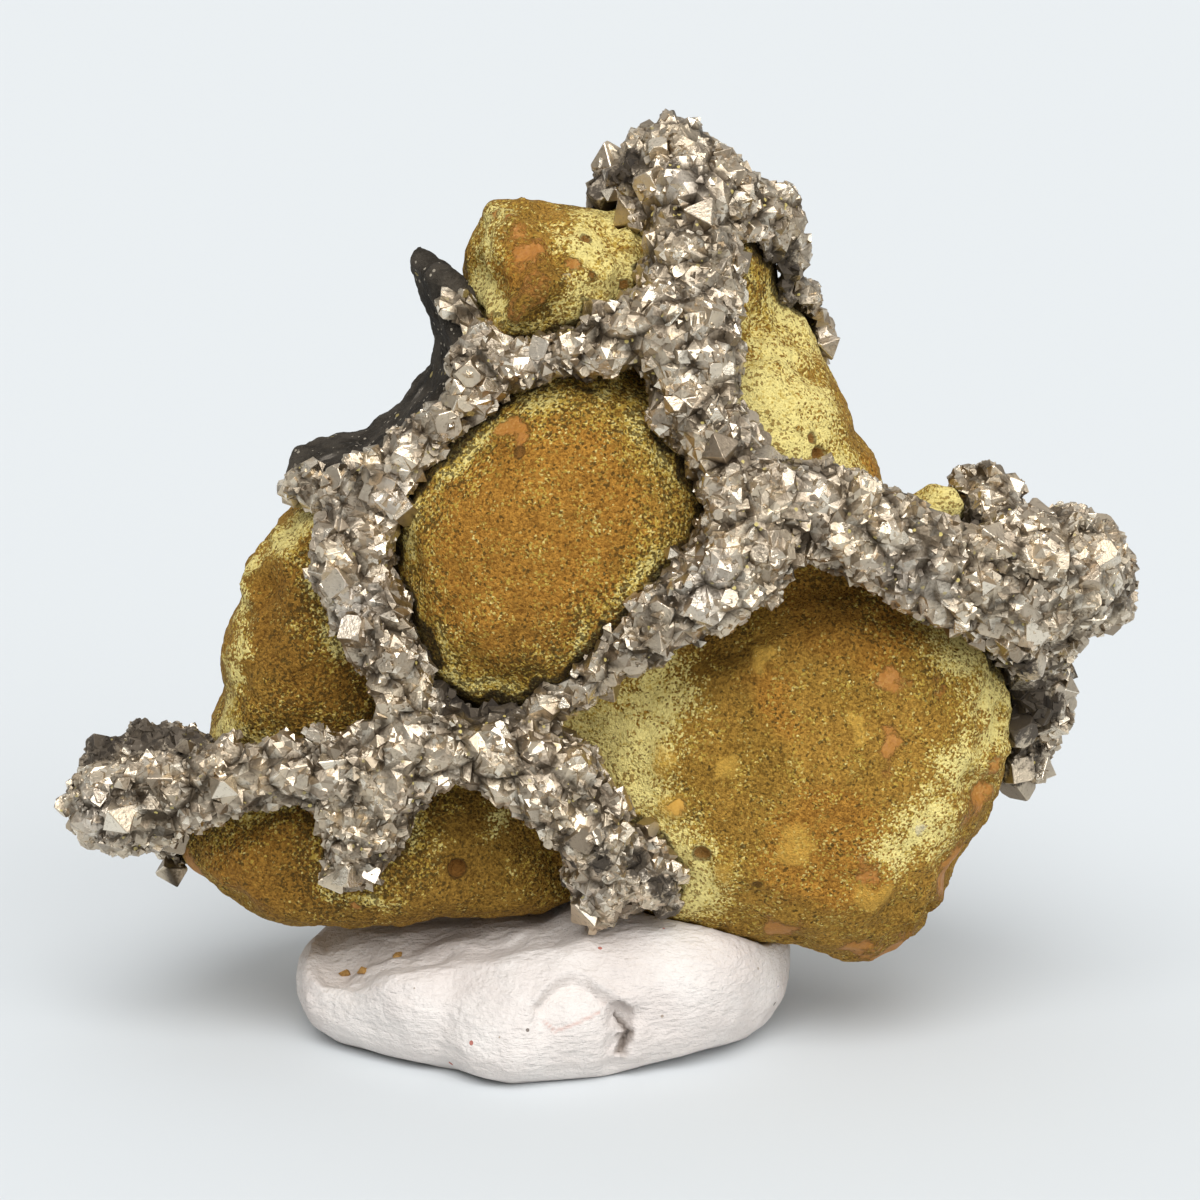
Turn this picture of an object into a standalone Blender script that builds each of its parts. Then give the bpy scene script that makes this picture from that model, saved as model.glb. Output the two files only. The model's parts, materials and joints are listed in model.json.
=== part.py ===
"""A pyrite specimen standing on a pat of mounting putty.

A flattened nodule of ochre rock, made of rounded blocks that have grown together, is netted over
by thick ribs of intergrown pyrite crystals. A curved wall of dark shale is left where one block
fell out. Metres, +Z up; the front of the specimen faces -Y. The origin is on the ground, under
the middle of the whole.
"""

import math
import random

import bmesh
import bpy
import numpy as np
from mathutils import Euler, Matrix, Vector, noise
from mathutils.bvhtree import BVHTree

MM = 0.001

# Driving dimensions, in millimetres
GAP = 0.3
MATRIX_VOXEL = 1.0
MATRIX_TRIANGLES = 1390
MATRIX_LUMP = 0.8
MATRIX_LUMP_SIZE = 6.5
MATRIX_SMOOTHING = 4
LARGE_PIT = 4
RIB_VOXEL = 0.35
RIB_TRIANGLES = 4600
RIB_PROUD = 2.4
RIB_KNOB = 0.14
RIB_KNOB_SPACING = 6.5
RIB_HELD_WITHIN = 6
CRYSTAL_PITCH = 3.6
CRYSTAL_RADIUS = (1.7, 3.2)
CRYSTAL_SUNK = 0.5
CRYSTAL_TILT = 0.6
CRYSTAL_BURIED = 0.4
CUBES = 0.25
SHALE_THICKNESS = 2.6
SHALE_ROWS = 5
SHALE_LUMP = 0.5
SHALE_LUMP_SIZE = 2.5
SHALE_ROOM = 1.4
SHALE_TRIANGLES = 280
PUTTY_TRIANGLES = 670
PUTTY_BASE_CORNERS = 8
PUTTY_BASE_FLARE = 0.14
PUTTY_BASE_TOP = 16
PUTTY_LEVELLED = 0.1
LUMP_SEED = 3.0
SHALE_SEED = 11.0
CRYSTAL_SEED = 7

# Blocks of the ochre nodule. Each outline is x, z as seen from the front, about a peak that is its
# middle unless one is given; front and back are the depths that its dome reaches, and fullness is
# 2 for a round dome, more for a flatter one and less for a pointed one.
BLOCKS = {
    "crown": {
        "outline": [(-12.7, 71.7), (-11.4, 75.0), (-7.7, 77.6), (-3.6, 76.9), (1.8, 75.6), (5.2, 74.0),
                    (8.0, 69.0), (6.5, 64.0), (-1.0, 60.0), (-9.5, 61.0), (-11.6, 66.5)],
        "peak": (-4.6, 71.5), "front": -15.5, "back": 9.0, "fullness": 1.5,
    },
    "crown_ridge": {
        "outline": [(-9.8, 77.3), (-7.0, 78.2), (-4.8, 72.0), (-4.2, 66.0), (-5.4, 63.0), (-7.6, 65.0),
                    (-8.4, 71.0)],
        "front": -15.6, "back": 2.0, "fullness": 1.6,
    },
    "neck": {
        "outline": [(1.5, 77.0), (8.0, 79.5), (14.0, 76.5), (15.5, 68.0), (13.0, 60.0), (3.0, 60.0)],
        "front": -8.5, "back": 10.0, "fullness": 2.2,
    },
    "dome": {
        "outline": [(-11.6, 60.5), (-5.4, 64.0), (2.5, 64.0), (9.0, 59.0), (12.5, 51.5), (12.5, 45.0),
                    (8.0, 38.5), (0.0, 33.0), (-9.1, 29.5), (-16.0, 33.0), (-19.0, 41.7), (-20.0, 49.1),
                    (-17.5, 55.5)],
        "front": -20.5, "back": 15.0, "fullness": 2.5,
    },
    "slope": {
        "outline": [(8.5, 65.5), (12.6, 67.6), (17.2, 63.8), (22.8, 55.6), (27.0, 49.0), (27.0, 41.0),
                    (16.6, 38.0), (7.0, 46.0), (6.5, 59.1)],
        "front": -13.5, "back": 13.0, "fullness": 2.2,
    },
    "right_foot": {
        "outline": [(-3.5, 33.5), (6.0, 41.0), (18.4, 45.5), (29.0, 44.5), (36.0, 37.8), (37.6, 29.0),
                    (36.8, 22.3), (34.4, 17.5), (32.2, 13.2), (28.2, 8.6), (24.5, 6.2), (17.9, 8.8),
                    (9.4, 10.2), (1.9, 12.0), (-4.0, 17.5), (-6.0, 26.5)],
        "front": -18.0, "back": 18.0, "fullness": 2.5,
    },
    "left_shoulder": {
        "outline": [(-26.8, 50.4), (-22.0, 52.0), (-14.0, 44.0), (-12.5, 31.0), (-18.0, 23.0), (-32.6, 23.6),
                    (-37.0, 27.1), (-34.6, 31.9), (-33.9, 39.5), (-31.1, 45.1)],
        "front": -13.5, "back": 11.0, "fullness": 2.3,
    },
    "left_foot": {
        "outline": [(-40.6, 17.4), (-38.0, 22.3), (-25.2, 27.0), (-14.0, 28.0), (-2.0, 24.0), (1.0, 13.5),
                    (-5.5, 11.6), (-13.0, 11.9), (-19.6, 11.3), (-25.4, 10.8), (-29.9, 10.6), (-33.8, 12.0),
                    (-37.0, 14.6)],
        "front": -14.5, "back": 13.0, "fullness": 2.5,
    },
    "heart": {
        "outline": [(0.0, 60.0), (14.0, 56.0), (22.0, 40.0), (20.0, 22.0), (0.0, 14.0), (-22.0, 20.0),
                    (-22.0, 40.0), (-12.0, 56.0)],
        "front": -13.0, "back": 16.5, "fullness": 2.6,
    },
}
# Knobs of rubbly ochre that peep out behind the ribs: centre x, y, z and radius
KNOBS = [(15.8, 1.5, 63.8, 4.0), (30.4, -8.0, 50.2, 2.7), (27.4, -7.5, 48.0, 3.2), (19.2, 3.5, 58.0, 3.0)]
# Pits and shell-shaped bites in the rock: x, z, radius of the ball that scoops it, and depth
FRONT_PITS = [(-12.9, 18.3, 1.2, 0.9), (9.2, 19.9, 1.0, 0.7), (14.2, 16.4, 1.0, 0.7), (27.3, 35.0, 2.2, 0.6),
              (19.5, 55.6, 1.3, 0.6), (6.2, 27.5, 1.8, 0.5), (25.0, 27.0, 0.8, 0.6), (-27.5, 17.2, 1.6, 0.5),
              (-1.6, 73.6, 1.0, 0.6), (33.6, 17.5, 5.0, 1.3), (29.0, 11.5, 5.0, 1.2), (34.6, 25.5, 5.5, 1.0),
              (22.5, 9.5, 4.0, 1.0), (-33.0, 14.0, 5.0, 0.9), (-29.5, 44.0, 6.0, 0.9)]
BACK_PITS = [(-14.0, 42.0, 5.0, 1.0), (22.0, 22.0, 6.0, 1.2), (-3.0, 58.0, 4.0, 0.9), (-24.0, 33.0, 3.0, 0.8),
             (14.0, 48.0, 7.0, 1.1), (8.0, 14.0, 4.0, 0.9), (-20.0, 14.0, 4.0, 0.8)]

# Ribs of pyrite. Each stop is x, y, z and the radius of the rib there.
RIBS = {
    "main": [(6.1, -2.5, 81.6, 3.4), (8.4, -6.0, 77.6, 5.0), (8.1, -11.0, 72.7, 4.2), (8.0, -14.0, 67.5, 4.2),
             (8.2, -15.5, 61.6, 3.9), (10.5, -16.0, 56.8, 3.6), (12.7, -16.5, 53.2, 3.9), (15.3, -17.0, 50.8, 4.0)],
    "upper_left": [(6.5, -14.5, 67.1, 3.6), (3.5, -14.5, 67.3, 3.5), (0.0, -14.5, 66.0, 3.1),
                   (-3.9, -14.5, 64.9, 2.4), (-7.9, -14.5, 63.8, 2.3), (-11.2, -14.0, 61.6, 2.3),
                   (-13.9, -13.5, 58.3, 2.3), (-17.0, -13.0, 55.0, 2.6), (-19.3, -12.5, 52.6, 2.9)],
    "shale_top": [(-10.5, -13.5, 63.3, 2.3), (-11.3, -12.0, 66.8, 2.0), (-13.1, -10.0, 69.6, 1.6)],
    "shale_left": [(-19.3, -12.5, 52.6, 2.9), (-22.7, -11.0, 52.5, 2.0), (-26.6, -8.0, 52.2, 1.4)],
    "right_arm": [(14.9, -16.0, 52.6, 3.9), (20.2, -16.0, 51.0, 4.3), (24.6, -16.0, 48.6, 4.1),
                  (29.0, -16.0, 46.4, 4.3), (34.1, -14.0, 44.8, 4.7), (38.6, -12.0, 44.6, 5.8),
                  (42.6, -8.0, 44.1, 5.2), (44.8, -4.0, 41.6, 3.8)],
    "right_knob": [(35.6, -9.0, 47.4, 4.0), (35.0, -6.0, 50.3, 3.1), (34.8, -4.0, 51.8, 2.0)],
    "right_fall": [(38.0, -11.0, 42.3, 4.2), (39.8, -5.0, 36.6, 3.6), (40.2, -1.0, 30.2, 3.5), (39.4, 0.5, 25.0, 2.8)],
    "diagonal": [(14.4, -17.0, 51.2, 4.2), (10.9, -19.0, 46.3, 4.9), (7.1, -19.5, 43.7, 4.1), (3.5, -19.0, 40.5, 3.3),
                 (0.0, -18.0, 38.0, 2.5), (-3.5, -16.5, 35.4, 2.1), (-5.3, -15.5, 34.2, 2.3)],
    "left": [(-19.3, -12.5, 52.2, 2.7), (-21.9, -14.0, 47.7, 3.5), (-21.0, -15.5, 43.3, 3.5),
             (-18.4, -16.0, 39.3, 3.3), (-17.3, -16.0, 35.7, 2.9), (-16.9, -16.5, 32.2, 3.3),
             (-17.6, -16.5, 28.5, 3.9)],
    "left_arm": [(-17.8, -16.5, 28.2, 4.1), (-23.6, -16.0, 27.5, 3.4), (-29.5, -15.5, 27.6, 3.7),
                 (-35.0, -14.5, 26.0, 4.1), (-40.6, -12.5, 24.0, 5.0), (-45.2, -10.0, 22.9, 4.7)],
    "left_crest": [(-36.5, -9.5, 26.4, 3.0), (-41.0, -8.5, 26.9, 3.2), (-44.6, -8.0, 25.0, 3.0)],
    "spur": [(-19.6, -16.5, 26.2, 4.0), (-21.2, -15.5, 21.5, 3.3), (-22.7, -14.5, 18.2, 2.2)],
    "lower": [(-16.9, -16.5, 30.8, 3.5), (-11.1, -17.0, 30.0, 3.3), (-6.2, -17.5, 28.8, 4.1), (-2.5, -18.0, 25.7, 4.1),
              (0.0, -17.5, 22.5, 3.6), (0.5, -15.5, 19.2, 3.4), (0.2, -15.5, 16.0, 3.6)],
    "lower_lump": [(0.9, -15.0, 19.3, 3.6), (4.1, -14.5, 20.1, 3.0), (5.3, -14.0, 16.4, 2.6)],
    "trough": [(-15.2, -13.5, 34.6, 2.2), (-10.7, -14.0, 32.2, 2.4), (-5.4, -14.5, 33.5, 2.6)],
    "top_right": [(8.6, -6.0, 77.8, 4.4), (12.2, -4.0, 76.6, 3.6), (15.2, -3.0, 75.0, 3.3), (15.8, 0.0, 71.4, 2.8),
                  (17.6, 3.0, 66.5, 2.4), (19.0, 4.0, 62.2, 1.6)],
    "top_left": [(7.4, -4.0, 79.8, 3.6), (4.2, -2.0, 79.8, 3.2), (1.9, 1.5, 77.5, 2.6), (1.0, 3.0, 75.6, 2.1)],
}
# Ribs that hug the rock behind
BACK_RIBS = {
    "back_spine": [(8.3, -2.0, 78.2, 4.2), (9.3, 8.0, 72.6, 4.1), (8.6, 13.0, 64.3, 3.4), (6.8, 16.0, 54.3, 3.4),
                   (4.4, 17.0, 44.2, 3.4), (2.0, 17.5, 36.1, 3.8)],
    "back_left": [(2.0, 18.5, 36.1, 3.6), (-7.9, 17.5, 28.2, 3.2), (-19.7, 15.0, 21.7, 3.2), (-31.1, 10.0, 19.0, 3.4),
                  (-40.0, 2.0, 20.0, 3.4), (-44.6, -6.0, 22.0, 3.6)],
    "back_right": [(2.0, 18.5, 36.1, 3.6), (13.8, 18.0, 31.1, 3.4), (25.5, 16.0, 30.1, 3.2), (34.7, 11.0, 32.7, 3.4),
                   (40.5, 2.0, 35.7, 3.6), (41.0, -6.0, 39.4, 3.8)],
}

# Crystals that stand out: x, y, z, radius and whether it is a cube
SINGLE_CRYSTALS = [(-3.2, -17.6, 34.2, 1.6, False), (-2.4, -20.5, 29.6, 1.9, False), (-25.3, -18.5, 32.0, 1.7, False),
                   (-20.6, -14.6, 54.8, 2.6, True), (-18.4, -15.2, 52.0, 2.4, True), (-23.0, -13.6, 53.0, 2.2, True),
                   (-23.4, -17.0, 46.6, 3.0, True), (38.0, -13.5, 38.0, 2.4, False), (42.0, -9.5, 38.4, 2.4, False),
                   (42.0, -4.0, 34.2, 2.0, False), (42.6, -3.5, 29.4, 2.2, False), (35.0, -7.0, 52.6, 2.4, False)]

# The shale wall, from its top tip round to its left tip. Each station is the front edge, under the
# pyrite, and the back edge, on the outline.
SHALE = [
    ((-14.6, -9.5, 72.4), (-16.9, -3.0, 73.6)),
    ((-12.9, -11.0, 69.6), (-15.4, -1.0, 69.5)),
    ((-11.8, -12.0, 66.6), (-14.0, 1.0, 65.4)),
    ((-11.4, -12.5, 63.4), (-14.6, 2.5, 61.8)),
    ((-13.4, -12.5, 60.8), (-16.7, 3.5, 58.9)),
    ((-15.3, -12.5, 59.0), (-18.8, 4.0, 56.9)),
    ((-17.8, -12.0, 57.0), (-21.0, 4.0, 54.9)),
    ((-20.0, -11.5, 54.6), (-23.4, 3.0, 54.2)),
    ((-22.6, -10.5, 53.2), (-26.0, 1.5, 54.4)),
    ((-25.4, -9.0, 53.0), (-27.9, -1.5, 54.2)),
    ((-27.6, -7.5, 51.6), (-28.9, -4.5, 52.0)),
]
SHALE_HOLLOW = 1.4

# The putty: its outline x, y from above, and its dents and swellings as x, y, z, reach and depth:
# the thumb's dent, the front roll, the flap with its crack, and the right lobe.
PUTTY_OUTLINE = [(-28.6, -3.0), (-27.0, -10.5), (-21.0, -15.5), (-14.0, -19.0), (-8.0, -22.4), (-1.0, -21.6),
                 (5.0, -19.0), (12.0, -15.0), (17.0, -8.0), (18.0, 0.0), (15.5, 9.0), (8.0, 16.0), (-3.0, 19.5),
                 (-15.0, 17.0), (-24.5, 9.5)]
PUTTY_SUNK = -3.0
PUTTY_HEIGHT = 15.5
PUTTY_FULLNESS = 2.7
PUTTY_LEAN = 0.15
PUTTY_DENTS = [(-22.5, -9.8, 11.0, 6.5, 3.3), (-15.0, -10.0, 13.0, 6.0, 2.5), (-7.5, -11.0, 14.0, 5.0, 1.5),
               (-9.5, -21.0, 4.0, 6.5, -1.2), (-17.0, -16.5, 9.5, 5.5, -1.0),
               (-2.6, -20.0, 7.0, 4.0, -0.8), (-1.2, -18.2, 11.5, 2.4, 1.0), (1.4, -19.0, 10.0, 2.4, 1.4),
               (2.6, -20.2, 7.0, 2.4, 1.8), (2.0, -21.0, 4.0, 2.2, 1.8), (1.6, -20.6, 1.0, 2.2, 1.6),
               (10.0, -15.0, 8.0, 7.0, -0.8)]

COLOURS = {
    "ochre_matrix": ((0.42, 0.25, 0.07), 0.85, 0.0),
    "pyrite_ribs": ((0.45, 0.41, 0.37), 0.32, 1.0),
    "shale_wall": ((0.055, 0.05, 0.045), 0.8, 0.0),
    "mounting_putty": ((0.72, 0.68, 0.66), 0.7, 0.0),
}


def clear_scene():
    for obj in list(bpy.data.objects):
        bpy.data.objects.remove(obj)


def collection(name):
    made = bpy.data.collections.new(name)
    bpy.context.scene.collection.children.link(made)
    return made


def object_from(bm, name, group):
    """A mesh object holding this bmesh, which is freed."""
    mesh = bpy.data.meshes.new(name)
    bm.to_mesh(mesh)
    bm.free()
    obj = bpy.data.objects.new(name, mesh)
    group.objects.link(obj)
    return obj


def applied(obj):
    """Replaces the object's mesh by what its modifiers make of it."""
    bpy.context.view_layer.update()
    evaluated = obj.evaluated_get(bpy.context.evaluated_depsgraph_get())
    obj.data = bpy.data.meshes.new_from_object(evaluated)
    obj.modifiers.clear()
    return obj


def remeshed(obj, voxel, smoothing, triangles):
    """One closed skin over everything in the object, smoothed and thinned to so many triangles."""
    remesh = obj.modifiers.new("skin", "REMESH")
    remesh.mode = "VOXEL"
    remesh.voxel_size = voxel * MM
    smooth = obj.modifiers.new("smooth", "SMOOTH")
    smooth.factor = 0.5
    smooth.iterations = smoothing
    applied(obj)
    thin = obj.modifiers.new("thin", "DECIMATE")
    thin.ratio = min(1.0, triangles / (2 * len(obj.data.polygons)))
    return applied(obj)


def swell(obj, height, size, seed):
    """Raises and lowers the surface along its normals with smooth noise."""
    mesh = obj.data
    shift = Vector((seed, seed * 0.37, -seed))
    normals = [v.normal.copy() for v in mesh.vertices]
    for vertex, normal in zip(mesh.vertices, normals):
        vertex.co += normal * height * MM * noise.noise(vertex.co / (size * MM) + shift)
    mesh.update()


def grown(obj, by, group):
    """A copy of the object that is larger by this much all round, to cut its neighbours with."""
    copy = bpy.data.objects.new(obj.name + "_grown", obj.data.copy())
    group.objects.link(copy)
    normals = [v.normal.copy() for v in copy.data.vertices]
    for vertex, normal in zip(copy.data.vertices, normals):
        vertex.co += normal * by * MM
    copy.data.update()
    hide(copy)
    return copy


def hide(obj):
    obj.hide_render = True
    obj.display_type = "WIRE"


def subtract(obj, other, solver="EXACT", overlapping=False):
    cut = obj.modifiers.new("cut", "BOOLEAN")
    cut.operation = "DIFFERENCE"
    cut.object = other
    cut.solver = solver
    cut.use_self = overlapping
    return applied(obj)


def keep_largest(obj):
    """Drops the crumbs that thinning or a cut leaves loose."""
    bm = bmesh.new()
    bm.from_mesh(obj.data)
    unseen = set(bm.verts)
    bodies = []
    while unseen:
        start = unseen.pop()
        body, edge = {start}, [start]
        while edge:
            for link in edge.pop().link_edges:
                for vertex in link.verts:
                    if vertex in unseen:
                        unseen.discard(vertex)
                        body.add(vertex)
                        edge.append(vertex)
        bodies.append(body)
    largest = max(bodies, key=len)
    bmesh.ops.delete(bm, geom=[v for v in bm.verts if v not in largest], context="VERTS")
    bm.to_mesh(obj.data)
    bm.free()


def outline_radius(outline, centre, angle):
    """How far a smooth closed outline lies from its centre in this direction."""
    polar = sorted((math.atan2(z - centre[1], x - centre[0]), math.hypot(x - centre[0], z - centre[1]))
                   for x, z in outline)
    turn = 2 * math.pi
    angles = [polar[-1][0] - turn] + [a for a, _ in polar] + [polar[0][0] + turn]
    radii = [polar[-1][1]] + [r for _, r in polar] + [polar[0][1]]
    return float(np.interp(angle, angles, radii))


def add_block(bm, outline, low, high, fullness, peak=None, along_z=False, segments=(48, 24)):
    """A pillow with this outline, domed between two depths: along Y, or along Z for the putty."""
    centre = peak or np.mean(outline, axis=0)
    middle, half = (low + high) / 2, (high - low) / 2
    made = bmesh.ops.create_uvsphere(bm, u_segments=segments[0], v_segments=segments[1], radius=1)
    for vertex in made["verts"]:
        angle = math.atan2(vertex.co.y, vertex.co.x)
        around = min(1.0, math.hypot(vertex.co.x, vertex.co.y)) ** (2 / fullness)
        depth = math.copysign(abs(vertex.co.z) ** (2 / fullness), vertex.co.z)
        reach = outline_radius(outline, centre, angle) * around
        across, up = centre[0] + reach * math.cos(angle), centre[1] + reach * math.sin(angle)
        along = middle + half * depth
        vertex.co = Vector((across, up, along) if along_z else (across, along, up)) * MM


def shape(create, **options):
    """The corners and faces of one of Blender's primitives, of radius 1, to be stamped many times."""
    bm = bmesh.new()
    create(bm, **options)
    corners = [v.co.copy() for v in bm.verts]
    faces = [[v.index for v in face.verts] for face in bm.faces]
    bm.free()
    return corners, faces


SMALL_BALL = shape(bmesh.ops.create_icosphere, subdivisions=1, radius=1)
BALL = shape(bmesh.ops.create_icosphere, subdivisions=2, radius=1)
OCTAHEDRON = shape(bmesh.ops.create_uvsphere, u_segments=4, v_segments=2, radius=1)
CUBE = shape(bmesh.ops.create_cube, size=1.25)


class Stamps:
    """Many copies of a few shapes, gathered as one mesh."""

    def __init__(self):
        self.corners = []
        self.faces = []

    def add(self, stamp, centre, radius, turn=Matrix.Identity(3)):
        start = len(self.corners)
        corners, faces = stamp
        self.corners += [centre + turn @ corner * radius * MM for corner in corners]
        self.faces += [[start + corner for corner in face] for face in faces]

    def object(self, name, group):
        mesh = bpy.data.meshes.new(name)
        mesh.from_pydata(self.corners, [], self.faces)
        obj = bpy.data.objects.new(name, mesh)
        group.objects.link(obj)
        return obj


def make_matrix(group, helpers):
    """The ochre nodule: its blocks under one skin, with lumps and pits."""
    bm = bmesh.new()
    for block in BLOCKS.values():
        add_block(bm, block["outline"], block["front"], block["back"], block["fullness"], block.get("peak"))
    for x, y, z, radius in KNOBS:
        bmesh.ops.create_icosphere(bm, subdivisions=3, radius=radius * MM,
                                   matrix=Matrix.Translation(Vector((x, y, z)) * MM))
    obj = object_from(bm, "ochre_matrix", group)
    remeshed(obj, MATRIX_VOXEL, MATRIX_SMOOTHING, MATRIX_TRIANGLES)
    swell(obj, MATRIX_LUMP, MATRIX_LUMP_SIZE, LUMP_SEED)
    skin = grown(obj, GAP, helpers)
    tree = BVHTree.FromObject(obj, bpy.context.evaluated_depsgraph_get())
    balls = Stamps()
    for side, pits in ((-1, FRONT_PITS), (1, BACK_PITS)):
        for x, z, radius, depth in pits:
            outside = Vector((x, side * 60, z)) * MM
            surface, normal, _, _ = tree.ray_cast(outside, Vector((0, -side, 0)))
            centre = surface + normal * (radius - depth) * MM
            balls.add(BALL if radius > LARGE_PIT else SMALL_BALL, centre, radius)
    scoops = balls.object("scoops", helpers)
    hide(scoops)
    subtract(obj, scoops, overlapping=True)
    return obj, skin


def make_shale(group, helpers, skin):
    """The dark wall: a hollow sheet from edge to edge of its stations, with a thickness."""
    bm = bmesh.new()
    grid = []
    for front, back in SHALE:
        front, back = Vector(front), Vector(back)
        line = []
        for row in range(SHALE_ROWS):
            share = row / (SHALE_ROWS - 1)
            point = front.lerp(back, share)
            inward = Vector((0.7, 0, -0.7)) * SHALE_HOLLOW * math.sin(math.pi * share)
            line.append(bm.verts.new((point + inward) * MM))
        grid.append(line)
    for here, there in zip(grid, grid[1:]):
        for row in range(SHALE_ROWS - 1):
            bm.faces.new((here[row], here[row + 1], there[row + 1], there[row]))
    obj = object_from(bm, "shale_wall", group)
    wall = obj.modifiers.new("wall", "SOLIDIFY")
    wall.thickness = SHALE_THICKNESS * MM
    wall.offset = 0
    round_off = obj.modifiers.new("smooth", "SUBSURF")
    round_off.levels = round_off.render_levels = 1
    applied(obj)
    swell(obj, SHALE_LUMP, SHALE_LUMP_SIZE, SHALE_SEED)
    thin = obj.modifiers.new("thin", "DECIMATE")
    thin.ratio = min(1.0, SHALE_TRIANGLES / (2 * len(obj.data.polygons)))
    applied(obj)
    room = grown(obj, SHALE_ROOM * GAP, helpers)
    subtract(obj, skin)
    keep_largest(obj)
    return obj, room


def level_base(obj, helpers):
    """Trims the rim underneath, so that the pat rests steadily on a flat base with a few corners."""
    for vertex in obj.data.vertices:
        if vertex.co.z < PUTTY_LEVELLED * MM:
            vertex.co.z = 0
    points = np.array([v.co for v in obj.data.vertices]) / MM
    base = points[points[:, 2] == 0]
    middle = base.mean(axis=0)
    bm = bmesh.new()
    for step in range(PUTTY_BASE_CORNERS):
        angle = math.tau * (step + 0.5) / PUTTY_BASE_CORNERS
        way = np.array((math.cos(angle), math.sin(angle), 0))
        corner = base[np.argmax((base - middle) @ way)] - middle
        for height in (-1, PUTTY_BASE_TOP):
            place = middle + corner * (1 + height * PUTTY_BASE_FLARE)
            bm.verts.new(Vector((place[0], place[1], height)) * MM)
    bmesh.ops.convex_hull(bm, input=bm.verts)
    tub = object_from(bm, "base_tub", helpers)
    hide(tub)
    trim = obj.modifiers.new("trim", "BOOLEAN")
    trim.operation = "INTERSECT"
    trim.object = tub
    applied(obj)
    bm = bmesh.new()
    bm.from_mesh(obj.data)
    bmesh.ops.dissolve_limit(bm, angle_limit=math.radians(0.5), verts=bm.verts, edges=bm.edges)
    bmesh.ops.triangulate(bm, faces=bm.faces)
    bm.to_mesh(obj.data)
    bm.free()


def make_putty(group, helpers, skin):
    """The pat of putty, flat below, dented and folded, and pressed to the rock above it."""
    bm = bmesh.new()
    add_block(bm, PUTTY_OUTLINE, PUTTY_SUNK, PUTTY_HEIGHT, PUTTY_FULLNESS, along_z=True, segments=(96, 48))
    bm.normal_update()
    for vertex in bm.verts:
        point, normal = vertex.co / MM, vertex.normal.copy()
        for x, y, z, reach, depth in PUTTY_DENTS:
            away = (point - Vector((x, y, z))).length / reach
            if away < 1:
                point -= normal * depth * (1 - away * away) ** 2
        lean = 1 - PUTTY_LEAN + PUTTY_LEAN * max(-1.0, min(1.0, point.x / 14))
        vertex.co = Vector((point.x, point.y, max(point.z * lean, 0.0))) * MM
    bmesh.ops.remove_doubles(bm, verts=bm.verts, dist=0.01 * MM)
    obj = object_from(bm, "mounting_putty", group)
    thin = obj.modifiers.new("thin", "DECIMATE")
    thin.ratio = min(1.0, PUTTY_TRIANGLES / (2 * len(obj.data.polygons)))
    applied(obj)
    level_base(obj, helpers)
    room = grown(obj, GAP, helpers)
    subtract(obj, skin)
    keep_largest(obj)
    return obj, room


def rib_line(stops, tree, hugs):
    """Points a millimetre apart on a smooth curve through the stops, standing proud of the rock.

    A rib that hugs is also drawn in to the rock where it would float.
    """
    points = np.array(stops, float)
    padded = np.vstack([2 * points[0] - points[1], points, 2 * points[-1] - points[-2]])
    line = []
    for i in range(len(points) - 1):
        a, b, c, d = padded[i:i + 4]
        steps = max(2, int(np.linalg.norm((c - b)[:3])))
        for step in range(steps):
            t = step / steps
            spline = 0.5 * (2 * b + (c - a) * t + (2 * a - 5 * b + 4 * c - d) * t * t
                            + (3 * b - a - 3 * c + d) * t ** 3)
            line.append(spline)
    line.append(points[-1])
    proud = []
    for step, (x, y, z, radius) in enumerate(line):
        radius *= 1 + RIB_KNOB * math.sin(math.tau * step / RIB_KNOB_SPACING + x)
        point = Vector((x, y, z)) * MM
        near, normal, _, _ = tree.find_nearest(point)
        height = (point - near).dot(normal) / MM
        lift = RIB_PROUD - radius - height
        if hugs or (lift > 0 and abs(height) < RIB_HELD_WITHIN):
            point += normal * lift * MM
        proud.append((point, radius))
    return proud


def random_turn(outward, rng):
    """Turned at random about the outward direction and tilted a little."""
    tilt = Euler([rng.uniform(-CRYSTAL_TILT, CRYSTAL_TILT) for _ in range(3)]).to_matrix()
    twist = Matrix.Rotation(rng.uniform(0, math.tau), 3, "Z")
    return outward.to_track_quat("Z", "Y").to_matrix() @ tilt @ twist


def crystals_on(stamps, line, tree, rng):
    """Crystals in a golden-angle spiral round the rib, left out where the rock would bury them."""
    golden = math.pi * (3 - math.sqrt(5))
    angle, owed = rng.uniform(0, math.tau), 0.0
    for (here, radius), (there, _) in zip(line, line[1:]):
        ahead = there - here
        owed += ahead.length / MM * math.tau * radius / CRYSTAL_PITCH ** 2
        side = ahead.orthogonal().normalized()
        while owed > 0:
            owed -= 1
            angle += golden
            outward = Matrix.Rotation(angle, 3, ahead) @ side
            size = rng.uniform(*CRYSTAL_RADIUS)
            point = here + ahead * rng.random() + outward * (radius - size * CRYSTAL_SUNK) * MM
            near, normal, _, _ = tree.find_nearest(point)
            if (point - near).dot(normal) > -CRYSTAL_BURIED * size * MM:
                crystal = CUBE if rng.random() < CUBES else OCTAHEDRON
                stamps.add(crystal, point, size, random_turn(outward, rng))


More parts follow.
